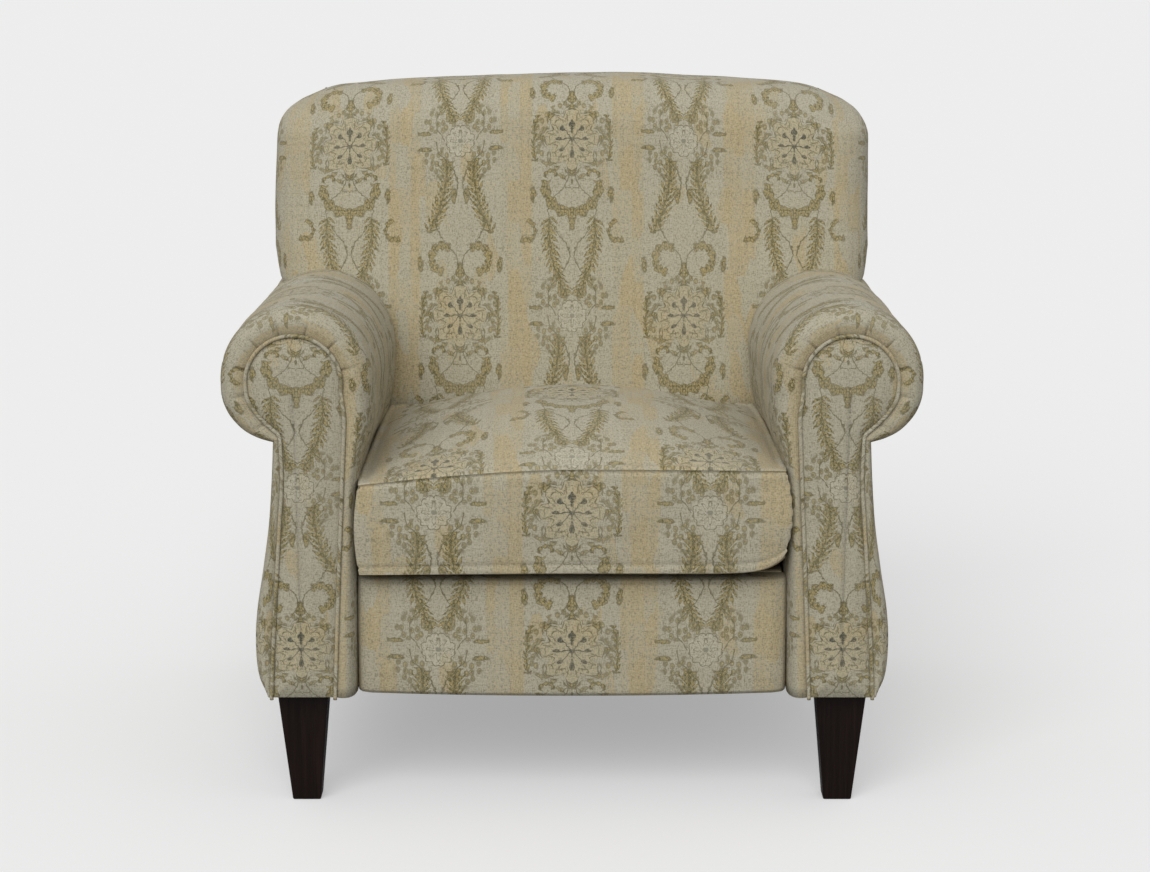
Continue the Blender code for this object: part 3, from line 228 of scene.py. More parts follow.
# scrolls: centre, radius, thickness, feathers, and the line that cuts each off
scrolls = (
    ((0.002, -0.064), 0.0400, 0.0080, 6.5, (0.0, 1.0), 0.006),
    ((0.0265, 0.0800), 0.0185, 0.0066, 5.5, (-1.0, -0.35), 0.006),
    ((0.0330, -0.0520), 0.0075, 0.0030, 3.5, (0.0, -1.0), 0.002),
    ((0.0720, -0.1300), 0.0145, 0.0034, 5.5, (1.0, 0.4), 0.004),
)
# single leaves: centre, half width, half height
drops = (
    ((0.0, -0.1150), 0.0058, 0.0125), ((0.0, 0.0640), 0.0062, 0.0110),
    ((0.0610, -0.0780), 0.0038, 0.0100), ((0.0620, 0.0720), 0.0038, 0.0100),
    ((0.0100, 0.1700), 0.0040, 0.0100), ((0.0560, 0.2380), 0.0100, 0.0034),
    ((0.0560, -0.2380), 0.0090, 0.0030),
)
# how finely each sort of thread and stain repeats along and across
weaving = {
    "weft": (170.0, 700.0, 1.0), "warp": (700.0, 150.0, 1.0), "threadRough": 0.65,
    "slubUp": (170.0, 9.0, 1.0), "slubAcross": (11.0, 190.0, 1.0), "slubRough": 0.6,
    "clouds": 9.0, "mottle": 430.0, "checker": 0.0013, "relief": 0.0007,
    "goldBlocks": (52.0, 17.0, 1.0), "goldFrom": 0.0600, "goldTo": 0.0655, "goldShare": 0.66,
}


def garland(m, y, start, end, width, pitch, bow):
    # wheat-ear of leaf pairs along a slightly bowed stem
    along = Vector((end[0] - start[0], end[1] - start[1]))
    length = along.length
    along /= length
    rise = y - (start[1] + end[1]) / 2
    m = m + rise * rise * bow - bow * (length / 2) ** 2 * 0.5
    right, up = m - start[0], y - start[1]
    s = right * along.x + up * along.y
    n = abs(up * along.x - right * along.y)
    q = ((s - n * ornament["leafSlant"]) % pitch) / pitch
    leaves = n - q * (1.0 - q) * (4 * width)
    ends = larger(-s, s - length)
    return larger(leaves, ends), larger(n - ornament["stem"], ends)


def scroll(m, y, centre, radius, thickness, lobes, cutNormal, cutAt):
    # feathered arc, cut off by a straight line
    right, up = m - centre[0], y - centre[1]
    reach = (right * right + up * up) ** 0.5
    turn = up.maths("ARCTAN2", up, right)
    feather = abs(sine(turn * lobes)) * (thickness * 0.55) + thickness * 0.45
    edge = abs(reach - radius) - feather
    return larger(edge, right * cutNormal[0] + up * cutNormal[1] - cutAt)


def drop(m, y, centre, halfWidth, halfHeight):
    right, up = (m - centre[0]) / halfWidth, (y - centre[1]) / halfHeight
    return ((right * right + up * up) ** 0.5 - 1.0) * min(halfWidth, halfHeight)


def columnPlace(u, v):
    # place within a column of the half-drop repeat, mirrored about its middle
    halfAcross, up = weave["across"] / 2, weave["up"]
    number = u / halfAcross + 0.5
    column = number.maths("FLOOR", number)
    straight = (v + (column % 2.0) * (up / 2) + up / 2) % up - up / 2
    return abs(u - column * halfAcross), straight


def wavering(plan, drawn):
    # a drawn line wavers, and does so the same way in every repeat
    grain = plan.grain(drawn, ornament["waverGrain"], 2.0, 0.6, flat=True)
    return (grain - 0.5) * ornament["waver"]


def rosetteFields(m, y):
    # eight arrows on a scalloped medallion, with its ribs, rings and buds
    r = (m * m + y * y) ** 0.5
    turn = y.maths("ARCTAN2", y, m)
    step = math.pi / 4
    lean = (turn + step / 2) % step - step / 2
    out, aside = r * lean.maths("COSINE", lean), abs(r * sine(lean))
    past = out - ornament["petalAt"]
    swell = 1.0 - past * past * (1 / ornament["petalLength"] ** 2)
    petals = aside - swell * ornament["petalWidth"]
    stalks = larger(
        aside - ornament["stalkWidth"], out - ornament["stalkTo"], ornament["stalkFrom"] - out
    )
    scallop = abs(sine(turn * 4.0 + math.pi / 2))
    edge = r - (ornament["medallion"] + scallop * ornament["scallop"])
    ribs = abs(r * sine((turn + step) % (step / 2) - step / 4)) - ornament["ribWidth"]
    rings = smaller(abs(edge + ornament["innerRing"]), abs(edge - ornament["outerRing"]), abs(edge))
    return {
        "r": r,
        "medallion": edge,
        "arrows": smaller(petals, stalks, r - ornament["eye"]),
        "ribs": larger(ribs, ornament["ribFrom"] - r, edge + ornament["ribShort"]),
        "rings": rings - ornament["line"],
        "buds": larger(
            out - ornament["budTo"], ornament["budFrom"] - out, aside - (ornament["budTip"] - out) * 0.5
        ),
    }


def starFields(m, y):
    # pale star half a drop away from the rosette, and the cross of leaves round it
    rise = weave["up"] / 2 - abs(y)
    r = (m * m + rise * rise) ** 0.5
    turn = rise.maths("ARCTAN2", rise, m)
    star = r - (ornament["star"] + sine(turn * 8.0 + math.pi / 2) * ornament["starPoint"])
    ring = r - ornament["starRing"] - abs(sine(turn * 6.0)) * ornament["starWave"]
    return {
        "eye": r - ornament["starEye"],
        "field": r - ornament["starField"],
        "lines": smaller(abs(star), abs(ring)) - ornament["line"],
        "cross": larger(
            0.62 - abs(sine(turn * 2.0)),
            (r - ornament["crossTo"]) * 20.0,
            (ornament["crossFrom"] - r) * 90.0,
        ),
    }


def flowerLines(m, y):
    # small flower within the lower scrolls
    rise = y + ornament["flowerBelow"]
    r = (m * m + rise * rise) ** 0.5
    turn = rise.maths("ARCTAN2", rise, m)
    edge = ornament["flower"] + abs(sine(turn * 2.5)) * ornament["flowerPetal"]
    return smaller(abs(r - edge) - ornament["line"], r - ornament["flowerEye"])


def foliageFields(plan, m, y, drawn, rosette, star):
    # leaves, drawn lines, and the loose sprays round the rosette and the star
    ears = [garland(m, y, *ear) for ear in garlands]
    single = [scroll(m, y, *curl) for curl in scrolls] + [drop(m, y, *leaf) for leaf in drops]
    leaves = smaller(rosette["buds"], *single, *(ear[0] for ear in ears))
    cell = plan.cells(drawn, ornament["sprayCells"], 0.8)
    wreath = larger(
        (rosette["r"] - ornament["wreathTo"]) * 60.0,
        -(rosette["medallion"] - ornament["wreathFrom"]) * 60.0,
    )
    sprays = larger((cell - 0.34) * 0.009, smaller(star["cross"], wreath) * 0.01)
    swing = sine(y * (2 * math.pi / ornament["vineWave"]) + 0.9) * ornament["vineSwing"]
    vine = abs(m - (ornament["vineAt"] + swing)) - ornament["vineWidth"]
    vine = larger(vine, ornament["vineFrom"] - abs(y))
    rings = rosette["rings"] + (cell - 0.35) * ornament["ringTremble"]
    lines = smaller(
        vine, flowerLines(m, y), rosette["ribs"], rings, star["lines"], *(ear[1] for ear in ears)
    )
    return leaves, lines, sprays


def threadGrain(plan, uv):
    # fine threads, and the thicker slubs among them
    def spun(sort, rough):
        return plan.grain(plan.stretched(uv, weaving[sort]), 1.0, 2.0, weaving[rough], flat=True)

    threads = spun("weft", "threadRough") + spun("warp", "threadRough") - 1.0
    slubs = spun("slubUp", "slubRough") + spun("slubAcross", "slubRough") - 1.0
    return threads, slubs


def printedLinen():
    plan = Plan(bpy.data.materials.new("printedLinen"))
    uv = plan.add("ShaderNodeUVMap", {"uv_map": "clothPlan"})
    u = plan.add("ShaderNodeSeparateXYZ", {}, {0: uv})
    v = Wire(plan, u.socket.node.outputs[1])
    flat, straight = columnPlace(u, v)
    drawn = plan.add("ShaderNodeCombineXYZ", {}, {0: flat, 1: straight})
    shifted = plan.add(
        "ShaderNodeVectorMath", {"operation": "ADD"}, {0: drawn, 1: ornament["waverShift"]}
    )
    m, y = flat + wavering(plan, drawn), straight + wavering(plan, shifted)
    rosette, star = rosetteFields(m, y), starFields(m, y)
    leafField, lineField, sprays = foliageFields(plan, m, y, drawn, rosette, star)
    threads, slubs = threadGrain(plan, uv)
    cloudy = plan.grain(uv, weaving["clouds"], 2.0, 0.5, flat=True) - 0.5
    mottle = plan.grain(uv, weaving["mottle"], 2.0, 0.7, flat=True) - 0.5

    # faded gold, laid in blocks between the columns, with a few strays
    blocks = plan.cells(uv, weaving["goldBlocks"], 0.7, {"distance": "CHEBYCHEV"}, output=1)
    blockTone = plan.add("ShaderNodeSeparateXYZ", {}, {0: blocks})
    kept = plan.ramp(blockTone + cloudy * 1.2 + threads * 1.3 + mottle * 1.7, 0.16, 0.72)
    stripes = plan.ramp(flat, weaving["goldFrom"], weaving["goldTo"]) * kept * weaving["goldShare"]
    strays = plan.ramp(blockTone + cloudy + threads * 0.6, 0.84, 1.0) * 0.55
    colour = plan.paint(linen["ground"], linen["gold"], larger(stripes, strays))

    # the print, worn thin where the threads stand up
    worn = plan.ramp(threads * 1.1 + slubs * 0.45 + mottle * 1.3 + cloudy * 0.4, -0.34, 0.22)
    thin = worn * 0.62 + 0.38
    colour = plan.paint(colour, linen["cream"], within(rosette["medallion"], 0.0024) * (thin * 0.55))
    colour = plan.paint(colour, linen["pale"], within(star["field"], 0.0015) * 0.4)
    leaves = larger(within(leafField, 0.0010), within(sprays, 0.0012) * 0.75)
    veins = plan.ramp(plan.cells(drawn, ornament["veinCells"], 0.9), 0.34, 0.60)
    leafTone = plan.paint(linen["leaf"], linen["leafGold"], plan.ramp(mottle, -0.04, 0.14))
    colour = plan.paint(colour, leafTone, leaves * (1.0 - veins * 0.25) * (thin * 0.98))
    edges = larger(
        within(abs(leafField) - 0.0006, 0.0006) * 0.85,
        within(lineField - 0.0002) * 0.9,
        within(abs(sprays) - 0.0005) * 0.70,
        leaves * veins * 0.95,
    )
    colour = plan.paint(colour, linen["leafDark"], edges * thin)
    inked = larger(within(rosette["arrows"]), within(star["eye"]) * 0.6)
    colour = plan.paint(colour, linen["ink"], inked * (thin * 0.95))

    # light and dark threads over all of it
    weaveTone = threads * 0.80 + slubs * 0.22 + mottle * 0.9
    colour = plan.paint(colour, linen["groundDark"], plan.ramp(weaveTone, 0.06, -0.32, 0.0, 0.70))
    colour = plan.paint(colour, linen["pale"], plan.ramp(weaveTone, 0.06, 0.36, 0.0, 0.40))
    pitch = 2 * math.pi / weaving["checker"]
    height = threads * 1.2 + slubs * 0.6 + sine(u * pitch) * sine(v * pitch) * 0.30
    rough = linen["roughness"]
    plan.set(
        Base_Color=colour,
        Roughness=plan.ramp(threads, -0.3, 0.3, rough + 0.07, rough - 0.05),
        Normal=plan.bump(height, 0.6, weaving["relief"]),
        Sheen_Weight=0.12,
        Sheen_Roughness=0.55,
        Specular_IOR_Level=0.2,
    )
    return plan.owner


# stained and lacquered legs, nearly black
espresso = {
    "stops": ((0.25, tone(17, 9, 7)[:3]), (0.52, tone(27, 16, 12)[:3]), (0.78, tone(40, 25, 18)[:3])),
    "poreTone": tone(18, 13, 12), "fibres": (190.0, 190.0, 7.0), "pores": (900.0, 900.0, 26.0),
    "clouds": 14.0, "relief": 0.0003,
}


def espressoWood():
    plan = Plan(bpy.data.materials.new("espressoWood"))
    place = plan.add("ShaderNodeTexCoord", output=3)
    fibres = plan.grain(plan.stretched(place, espresso["fibres"]), 1.0, 4.0, 0.6)
    pores = plan.ramp(plan.grain(plan.stretched(place, espresso["pores"]), 1.0, 2.0, 0.5), 0.56, 0.68)
    cloud = plan.grain(place, espresso["clouds"], 2.0, 0.5)
    colour = plan.add(
        "ShaderNodeValToRGB", {"stops": espresso["stops"]}, {0: fibres * 0.75 + cloud * 0.25}
    )
    plan.set(
        Base_Color=plan.paint(colour, espresso["poreTone"], pores * 0.7),
        Roughness=plan.ramp(fibres, 0.3, 0.7, 0.20, 0.32),
        Normal=plan.bump(fibres * 0.4 - pores * 0.6, 0.25, espresso["relief"]),
        IOR=1.33,
    )
    return plan.owner


# plain finishes of what the cloth hides: name, two tones, grain stretch, roughness, metal
plainFinishes = {
    "frameWood": (tone(196, 160, 112), tone(150, 112, 70), (8.0, 160.0, 160.0), 0.7, 0.0),
    "springSteel": (tone(150, 150, 152), tone(96, 92, 88), (120.0, 120.0, 120.0), 0.38, 1.0),
    "padFoam": (tone(226, 214, 178), tone(202, 188, 150), (420.0, 420.0, 420.0), 0.95, 0.0),
    "dustCloth": (tone(40, 40, 42), tone(24, 24, 26), (700.0, 700.0, 700.0), 0.95, 0.0),
    "deckCloth": (tone(168, 158, 132), tone(140, 130, 104), (500.0, 500.0, 500.0), 0.93, 0.0),
    "juteWebbing": (tone(178, 150, 104), tone(128, 102, 66), (300.0, 60.0, 300.0), 0.92, 0.0),
}


def plainFinish(name):
    bright, dark, stretch, rough, metal = plainFinishes[name]
    plan = Plan(bpy.data.materials.new(name))
    place = plan.add("ShaderNodeTexCoord", output=3)
    fine = plan.grain(plan.stretched(place, stretch), 1.0, 3.0, 0.6)
    broad = plan.grain(place, 9.0, 2.0, 0.5)
    plan.set(
        Base_Color=plan.paint(dark, bright, plan.ramp(fine * 0.7 + broad * 0.3, 0.3, 0.7)),
        Roughness=plan.ramp(fine, 0.3, 0.7, rough + 0.04, rough - 0.06),
        Metallic=metal,
        Normal=plan.bump(fine, 0.35, 0.0005),
    )
    return plan.owner


cloth = printedLinen()
wood = espressoWood()
finishes = {name: plainFinish(name) for name in plainFinishes}
print("materials made")


# surfaces laid out as rows of points
def through(points, count):
    # smooth open curve, as count places evenly spread over its spans
    ends = np.vstack([2 * points[0] - points[1], points, 2 * points[-1] - points[-2]])
    t = np.linspace(0, len(points) - 1, count)
    k = np.minimum(t.astype(int), len(points) - 2)
    f = (t - k)[:, None]
    a, b, c, d = ends[k], ends[k + 1], ends[k + 2], ends[k + 3]
    bend, twist = 2 * a - 5 * b + 4 * c - d, 3 * b - a - 3 * c + d
    return 0.5 * (2 * b + (c - a) * f + bend * f**2 + twist * f**3)


def placed(*axes):
    # coordinates side by side, as points or as places on the cloth
    return np.stack(axes, axis=-1)


def smooth(value, low, high):
    t = np.clip((value - low) / (high - low), 0, 1)
    return t * t * (3 - 2 * t)


def raised(distance, rib):
    # height of a rib or groove at each distance from its seam
    height, middle, halfWidth = rib
    return height * np.exp(-(((distance - middle) / halfWidth) ** 2))


def crowded(count, power):
    # places from -1 to 1, closer together towards both ends
    k = np.linspace(-1, 1, count)
    return np.sign(k) * (1 - (1 - np.abs(k)) ** power)


def travelled(points):
    # distance walked along the last-but-one axis
    steps = np.linalg.norm(np.diff(points, axis=-2), axis=-1)
    start = np.zeros(steps.shape[:-1] + (1,))
    return np.concatenate([start, np.cumsum(steps, axis=-1)], axis=-1)


def soften(points, size, amount, seed=0.0):
    # slow unevenness of stuffing, as a number for each point
    places = points.reshape(-1, 3) / size + np.array((seed, -seed, 0.0))
    made = [noise.noise(Vector(place)) for place in places]
    return np.array(made).reshape(points.shape[:-1]) * amount


def surfaceNormals(points, centre):
    # outward normals of a grid of points
    across = np.gradient(points, axis=1)
    along = np.gradient(points, axis=0)
    normal = np.cross(along, across)
    normal /= np.maximum(np.linalg.norm(normal, axis=-1, keepdims=True), 1e-9)
    outward = np.sum(normal * (points - np.array(centre)))
    return normal if outward > 0 else -normal


def gridFaces(rows, columns, skip=None):
    index = np.arange(rows * columns).reshape(rows, columns)
    quads = placed(index[:-1, :-1], index[:-1, 1:], index[1:, 1:], index[1:, :-1])
    if skip is not None:
        return quads[~skip]
    return quads.reshape(-1, 4)


def clothPiece(name, grids, centre, wall=clothWall, skip=None):
    # one object from grids of points and their plan, welded where they meet, facing away from centre
    shape = bmesh.new()
    layer = shape.loops.layers.uv.new("clothPlan")
    for points, plan in grids:
        rows, columns = points.shape[:2]
        places = points.reshape(-1, 3) + np.array((0.0, facingPlane, 0.0))
        flat = plan.reshape(-1, 2)
        made = [shape.verts.new(p) for p in places]
        for quad in gridFaces(rows, columns, skip):
            corners = [made[i] for i in quad]
            if len({tuple(round(c, 6) for c in v.co) for v in corners}) < 3:
                continue
            face = shape.faces.new(corners)
            face.smooth = True
            for loop, i in zip(face.loops, quad):
                loop[layer].uv = flat[i]
    loose = [v for v in shape.verts if not v.link_faces]
    bmesh.ops.delete(shape, geom=loose, context="VERTS")
    bmesh.ops.remove_doubles(shape, verts=shape.verts, dist=0.00002)
    bmesh.ops.recalc_face_normals(shape, faces=shape.faces)
    middle = Vector((centre[0], centre[1] + facingPlane, centre[2]))
    outward = sum(
        face.normal.dot(face.calc_center_median() - middle) * face.calc_area() for face in shape.faces
    )
    if outward < 0:
        bmesh.ops.reverse_faces(shape, faces=shape.faces)
    mesh = bpy.data.meshes.new(name)
    shape.to_mesh(mesh)
    shape.free()
    piece = bpy.data.objects.new(name, mesh)
    bpy.context.scene.collection.objects.link(piece)
    mesh.materials.append(cloth)
    if wall:
        thickness = piece.modifiers.new("cloth", "SOLIDIFY")
        thickness.thickness = wall
        thickness.offset = -1.0
        bpy.context.view_layer.objects.active = piece
        bpy.ops.object.modifier_apply(modifier="cloth")
    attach(piece, "root")
    return piece


# the arms, each in a cover, an outside panel, a welt and a padded facing
arm = {
    "bottom": 0.1455, "seatHalfWidth": 0.2825, "tackHeight": 0.305,
    "rollCentre": (0.3552, 0.5625), "rollRadius": 0.0985,
    "rearOut": 0.0095, "rearDrop": 0.0305, "rearRadius": 0.1065,
    "facingShift": 0.0015, "facingRadius": 0.0615,
    "puff": 0.034, "cord": 0.0025, "seatDepth": 0.515,
    "rearDepth": 0.745, "rearRake": 0.075,
    "folds": (165.5, 136.0, 104.5, 74.0, 45.0, 15.0), "underFolds": (0.16, 0.56),
    "foldDepth": 0.0044, "foldWidth": 1.25,
    "columnAt": 0.352, "rosetteHeight": 0.213, "facingScale": 1.165, "facingWide": 1.08,
    "printAlong": 0.076, "printAround": 0.155, "outerPrintAlong": 0.055,
    "coverInset": 0.0012, "facingInset": 0.0011, "cordForward": 0.0004,
    "cordRipple": 0.035, "rippleLength": 0.0042, "weltPlaces": 520,
    "placesUnder": 49, "placesInside": 61, "placesOutside": 70, "rowsBack": 52, "rowsPuff": 26,
}
rollCentre = np.array(arm["rollCentre"])
facingCentre = rollCentre + (arm["facingShift"], 0.0)
waist = rollCentre + (0.0325, -0.0800)
facingWaist = facingCentre + (0.0195, -0.0665)


def onArc(centre, radius, degrees):
    turn = np.radians(degrees)
    return placed(centre[0] + radius * np.cos(turn), centre[1] + radius * np.sin(turn))


def offsetOutline(outline, distance):
    along = np.gradient(outline, axis=0)
    along /= np.linalg.norm(along, axis=1, keepdims=True)
    return outline + placed(-along[:, 1], along[:, 0]) * distance


def armOutlines():
    # the cloth's outline and the welt's line, place by place, with each place's crease and turn
    half, tack = arm["seatHalfWidth"], arm["tackHeight"]
    start = onArc(rollCentre, arm["rollRadius"], 190.0)
    facingStart = onArc(facingCentre, arm["facingRadius"], 190.0)
    rise, facingRise = start[1] - tack, facingStart[1] - tack
    inner = np.array([
        (half, arm["bottom"]), (half - 0.0013, tack), (half - 0.0030, tack + 0.40 * rise),
        (half - 0.0070, tack + 0.61 * rise), (start[0] + 0.0080, tack + 0.735 * rise),
        (start[0] + 0.0022, tack + 0.865 * rise), start,
    ])
    facingInner = np.array([
        (half + 0.0271, arm["bottom"]), (half + 0.0200, tack),
        (half + 0.0154, tack + 0.36 * facingRise), (half + 0.0134, tack + 0.53 * facingRise),
        (half + 0.0113, tack + 0.70 * facingRise),
        (half + 0.0098, tack + 0.86 * facingRise), facingStart,
    ])
    under = np.array([
        onArc(rollCentre, arm["rollRadius"], 0.0), rollCentre + (0.0974, -0.0219),
        rollCentre + (0.0883, -0.0449), rollCentre + (0.0706, -0.0647),
        rollCentre + (0.0514, -0.0750), waist, waist + (-0.0070, -0.0006),
    ])
    facingUnder = np.array([
        onArc(facingCentre, arm["facingRadius"], 0.0), facingCentre + (0.0587, -0.0213),
        facingCentre + (0.0475, -0.0396), facingCentre + (0.0325, -0.0552),
        facingWaist, facingWaist + (-0.0012, -0.0018),
    ])
    angles = np.linspace(190.0, 0.0, 191)
    crease = sum(np.exp(-np.abs(angles - fold) / arm["foldWidth"]) for fold in arm["folds"])
    inside, below = arm["placesInside"], arm["placesUnder"]
    shares = np.linspace(0.0, 1.0, below)
    underCrease = sum(np.exp(-np.abs(shares - fold) / 0.020) for fold in arm["underFolds"])
    clothLine = np.vstack([
        through(inner, inside)[:-1], onArc(rollCentre, arm["rollRadius"], angles),
        through(under, below)[1:],
    ])
    weltLine = np.vstack([
        through(facingInner, inside)[:-1], onArc(facingCentre, arm["facingRadius"], angles),
        through(facingUnder, below)[1:],
    ])
    creases = np.concatenate([np.zeros(inside - 1), crease, underCrease[1:]])
    turns = np.concatenate([np.full(inside - 1, 200.0), angles, np.full(below - 1, -10.0)])
    return clothLine, weltLine, creases, turns


def outerOutlines():
    # the same two lines below the waist, down the outside of the arm
    drop = waist[1] - arm["bottom"]
    clothLine = np.array([waist + (a, b * drop) for a, b in (
        (0.0020, -0.155), (0.0070, -0.33), (0.0155, -0.50), (0.0250, -0.675),
        (0.0278, -0.81), (0.0240, -0.925), (0.0120, -0.995),
    )])
    clothLine = np.vstack([waist + (-0.0012, 0.0006), clothLine])
    facingDrop = facingWaist[1] - arm["bottom"]
    weltLine = np.array([facingWaist + (a, b * facingDrop) for a, b in (
        (-0.0026, -0.18), (0.0020, -0.36), (0.0085, -0.62), (0.0140, -0.86), (0.0163, -1.0),
    )])
    weltLine = np.vstack([facingWaist + (-0.0014, -0.0024), weltLine])
    return through(clothLine, arm["placesOutside"]), through(weltLine, arm["placesOutside"])


def rearDepth(height):
    return arm["rearDepth"] + (height - arm["bottom"]) * arm["rearRake"]


def towardsRear(line, depth):
    # the arm's outline at a depth: the roll grows, drops and leans out towards the back
    share = np.clip((depth - arm["puff"]) / (arm["seatDepth"] - arm["puff"]), 0, 1)
    ease = smooth(line[:, 1], arm["tackHeight"], waist[1])[:, None] * share
    rear = rollCentre + (arm["rearOut"], -arm["rearDrop"])
    target = rear + (line - rollCentre) * (arm["rearRadius"] / arm["rollRadius"])
    return line + (target - line) * ease


# share of the way in to the welt, and share of the puff's depth
puffSteps = np.array([(1.0, 0.10), (0.8, 0.02), (0.55, 0.0), (0.3, 0.12), (0.1, 0.45), (0.0, 1.0)])


def armRows(clothLine, weltLine, sign, creases):
    # from the welt, over the puffed front, and back along the arm
    rows = []
    for share, depth in through(puffSteps, arm["rowsPuff"]):
        place = clothLine + (weltLine - clothLine) * share
        pull = arm["foldDepth"] * smooth(share, 0.30, 0.95) * creases
        depth = arm["puff"] * depth + pull
        rows.append(placed(sign * place[:, 0], depth, place[:, 1]))
    last = rearDepth(clothLine[:, 1]) - seamEase
    for share in np.linspace(0, 1, arm["rowsBack"])[1:] ** 1.15:
        depth = arm["puff"] + (last - arm["puff"]) * share
        place = towardsRear(clothLine, depth.mean())
        rows.append(placed(sign * place[:, 0], depth, place[:, 1]))
    return np.array(rows)


# front face of the back: bowed round the sitter and leaning rearwards
backFace = {"halfWidth": 0.4455, "bow": 0.030, "bowPower": 2.5, "leanFrom": 0.45, "lean": 0.22}


def backFaceDepth(x, height):
    bow = backFace["bow"] * (np.abs(x) / backFace["halfWidth"]) ** backFace["bowPower"]
    leaning = np.maximum(0.0, height - backFace["leanFrom"]) * backFace["lean"]
    return arm["seatDepth"] + leaning + bow


def armCover(side, sign):
    clothLine, weltLine, creases, turns = armOutlines()
    seamLine = offsetOutline(weltLine, arm["coverInset"])
    points = armRows(clothLine, seamLine, sign, creases)
    centre = (sign * rollCentre[0], 0.28, rollCentre[1])
    normals = surfaceNormals(points, centre)
    depth = points[..., 1]
    onRoll = smooth(points[..., 2], 0.45, 0.50)
    shoulder = -0.0016 * np.exp(-(((depth - 0.048) / 0.013) ** 2)) * onRoll
    behindPuff = smooth(depth, 0.02, 0.06)
    lumps = soften(points, 0.11, 0.0026, sign * 3.0) + soften(points, 0.035, 0.0007, sign * 7.0)
    alongProfile = travelled(clothLine)
    lumps = lumps * smooth(alongProfile[-1] - alongProfile, 0.0, 0.035)[None, :]
    pucker = 0.0010 * creases * np.exp(-(((depth - 0.036) / 0.012) ** 2))
    # the cover is pulled in where the back stands on it, and left out behind the back's face
    beforeBack = backFaceDepth(points[..., 0], points[..., 2]) - depth
    seam = -0.0045 * np.exp(-np.clip(beforeBack, 0, 1) / 0.009) * (beforeBack > -0.03)
    seam = seam * smooth(turns, 35.0, 60.0)[None, :]
    hidden = (beforeBack < -0.030) & (turns[None, :] > 47.0)
    points = points + normals * (shoulder + lumps * behindPuff - pucker + seam)[..., None]
    walked = travelled(np.swapaxes(points, 0, 1)).T
    v = np.broadcast_to(alongProfile, walked.shape)
    plan = placed(walked - arm["printAlong"], v + arm["printAround"])
    skip = hidden[1:, 1:] & hidden[:-1, :-1]
    piece = clothPiece(f"armCover_{side}", [(points, plan)], centre, skip=skip)
    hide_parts(f"arm_cover_{side}", f"arm_pad_{side}")


def outsideArm(side, sign):
    clothLine, weltLine = outerOutlines()
    seamLine = offsetOutline(weltLine, arm["coverInset"])
    points = armRows(clothLine, seamLine, sign, np.zeros(len(clothLine)))
    centre = (0.0, 0.28, 0.35)
    normals = surfaceNormals(points, centre)
    lumps = soften(points, 0.16, 0.0016, sign * 5.0) * smooth(points[..., 1], 0.02, 0.06)
    lumps = lumps * smooth(waist[1] - points[..., 2], 0.0, 0.05)
    points = points + normals * lumps[..., None]
    walked = travelled(np.swapaxes(points, 0, 1)).T
    v = np.broadcast_to(points[:, :, 2], walked.shape) - arm["rosetteHeight"]
    plan = placed(walked - arm["outerPrintAlong"], v)
    piece = clothPiece(f"outsideArm_{side}", [(points, plan)], centre)
    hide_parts(f"outside_arm_cover_{side}")


def weltPath():
    # the whole keyhole line, evenly spaced and eased round its corner
    _, weltLine, _, _ = armOutlines()
    path = np.vstack([weltLine, outerOutlines()[1]])
    walked = travelled(path)
    even = np.linspace(0, walked[-1], arm["weltPlaces"])
    path = np.stack([np.interp(even, walked, path[:, axis]) for axis in (0, 1)], axis=1)
    for _ in range(6):
        path[1:-1] = (path[:-2] + 2 * path[1:-1] + path[2:]) / 4
    return path


def armWelt(side, sign):
    # covered cord
    path = weltPath()
    path[0, 1] -= arm["cord"]
    path[-1, 1] -= arm["cord"]
    along = np.gradient(path, axis=0)
    along /= np.linalg.norm(along, axis=1, keepdims=True)
    sideways = placed(-along[:, 1], along[:, 0])
    turns = np.linspace(0, 2 * math.pi, 15)
    rows = []
    for turn in turns:
        out = arm["cord"] * math.cos(turn)
        deep = arm["cord"] * math.sin(turn) + arm["cordForward"]
        rows.append(np.stack([
            sign * (path[:, 0] + sideways[:, 0] * out), np.full(len(path), deep),
            path[:, 1] + sideways[:, 1] * out,
        ], axis=1))
    points = np.array(rows)
    walked = travelled(path)
    ripple = 1 + arm["cordRipple"] * np.sin(walked * 2 * math.pi / arm["rippleLength"])
    depth = np.full(len(path), arm["cordForward"])
    middle = placed(sign * path[:, 0], depth, path[:, 1])
    points = middle[None] + (points - middle[None]) * ripple[None, :, None]
    v = np.broadcast_to(turns[:, None] * arm["cord"], points.shape[:2])
    u = np.broadcast_to(walked, points.shape[:2]) * 0.7 + 0.03
    plan = placed(u, v + walked[None] * 0.7)
    piece = clothPiece(f"armWelt_{side}", [(points, plan)], (0, 0, 0), wall=0)
    closeEnds(piece)
    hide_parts(f"arm_welt_{side}")


def closeEnds(piece):
    shape = bmesh.new()
    shape.from_mesh(piece.data)
    rim = [edge for edge in shape.edges if edge.is_boundary]
    bmesh.ops.holes_fill(shape, edges=rim, sides=0)
    bmesh.ops.recalc_face_normals(shape, faces=shape.faces)
    shape.to_mesh(piece.data)
    shape.free()


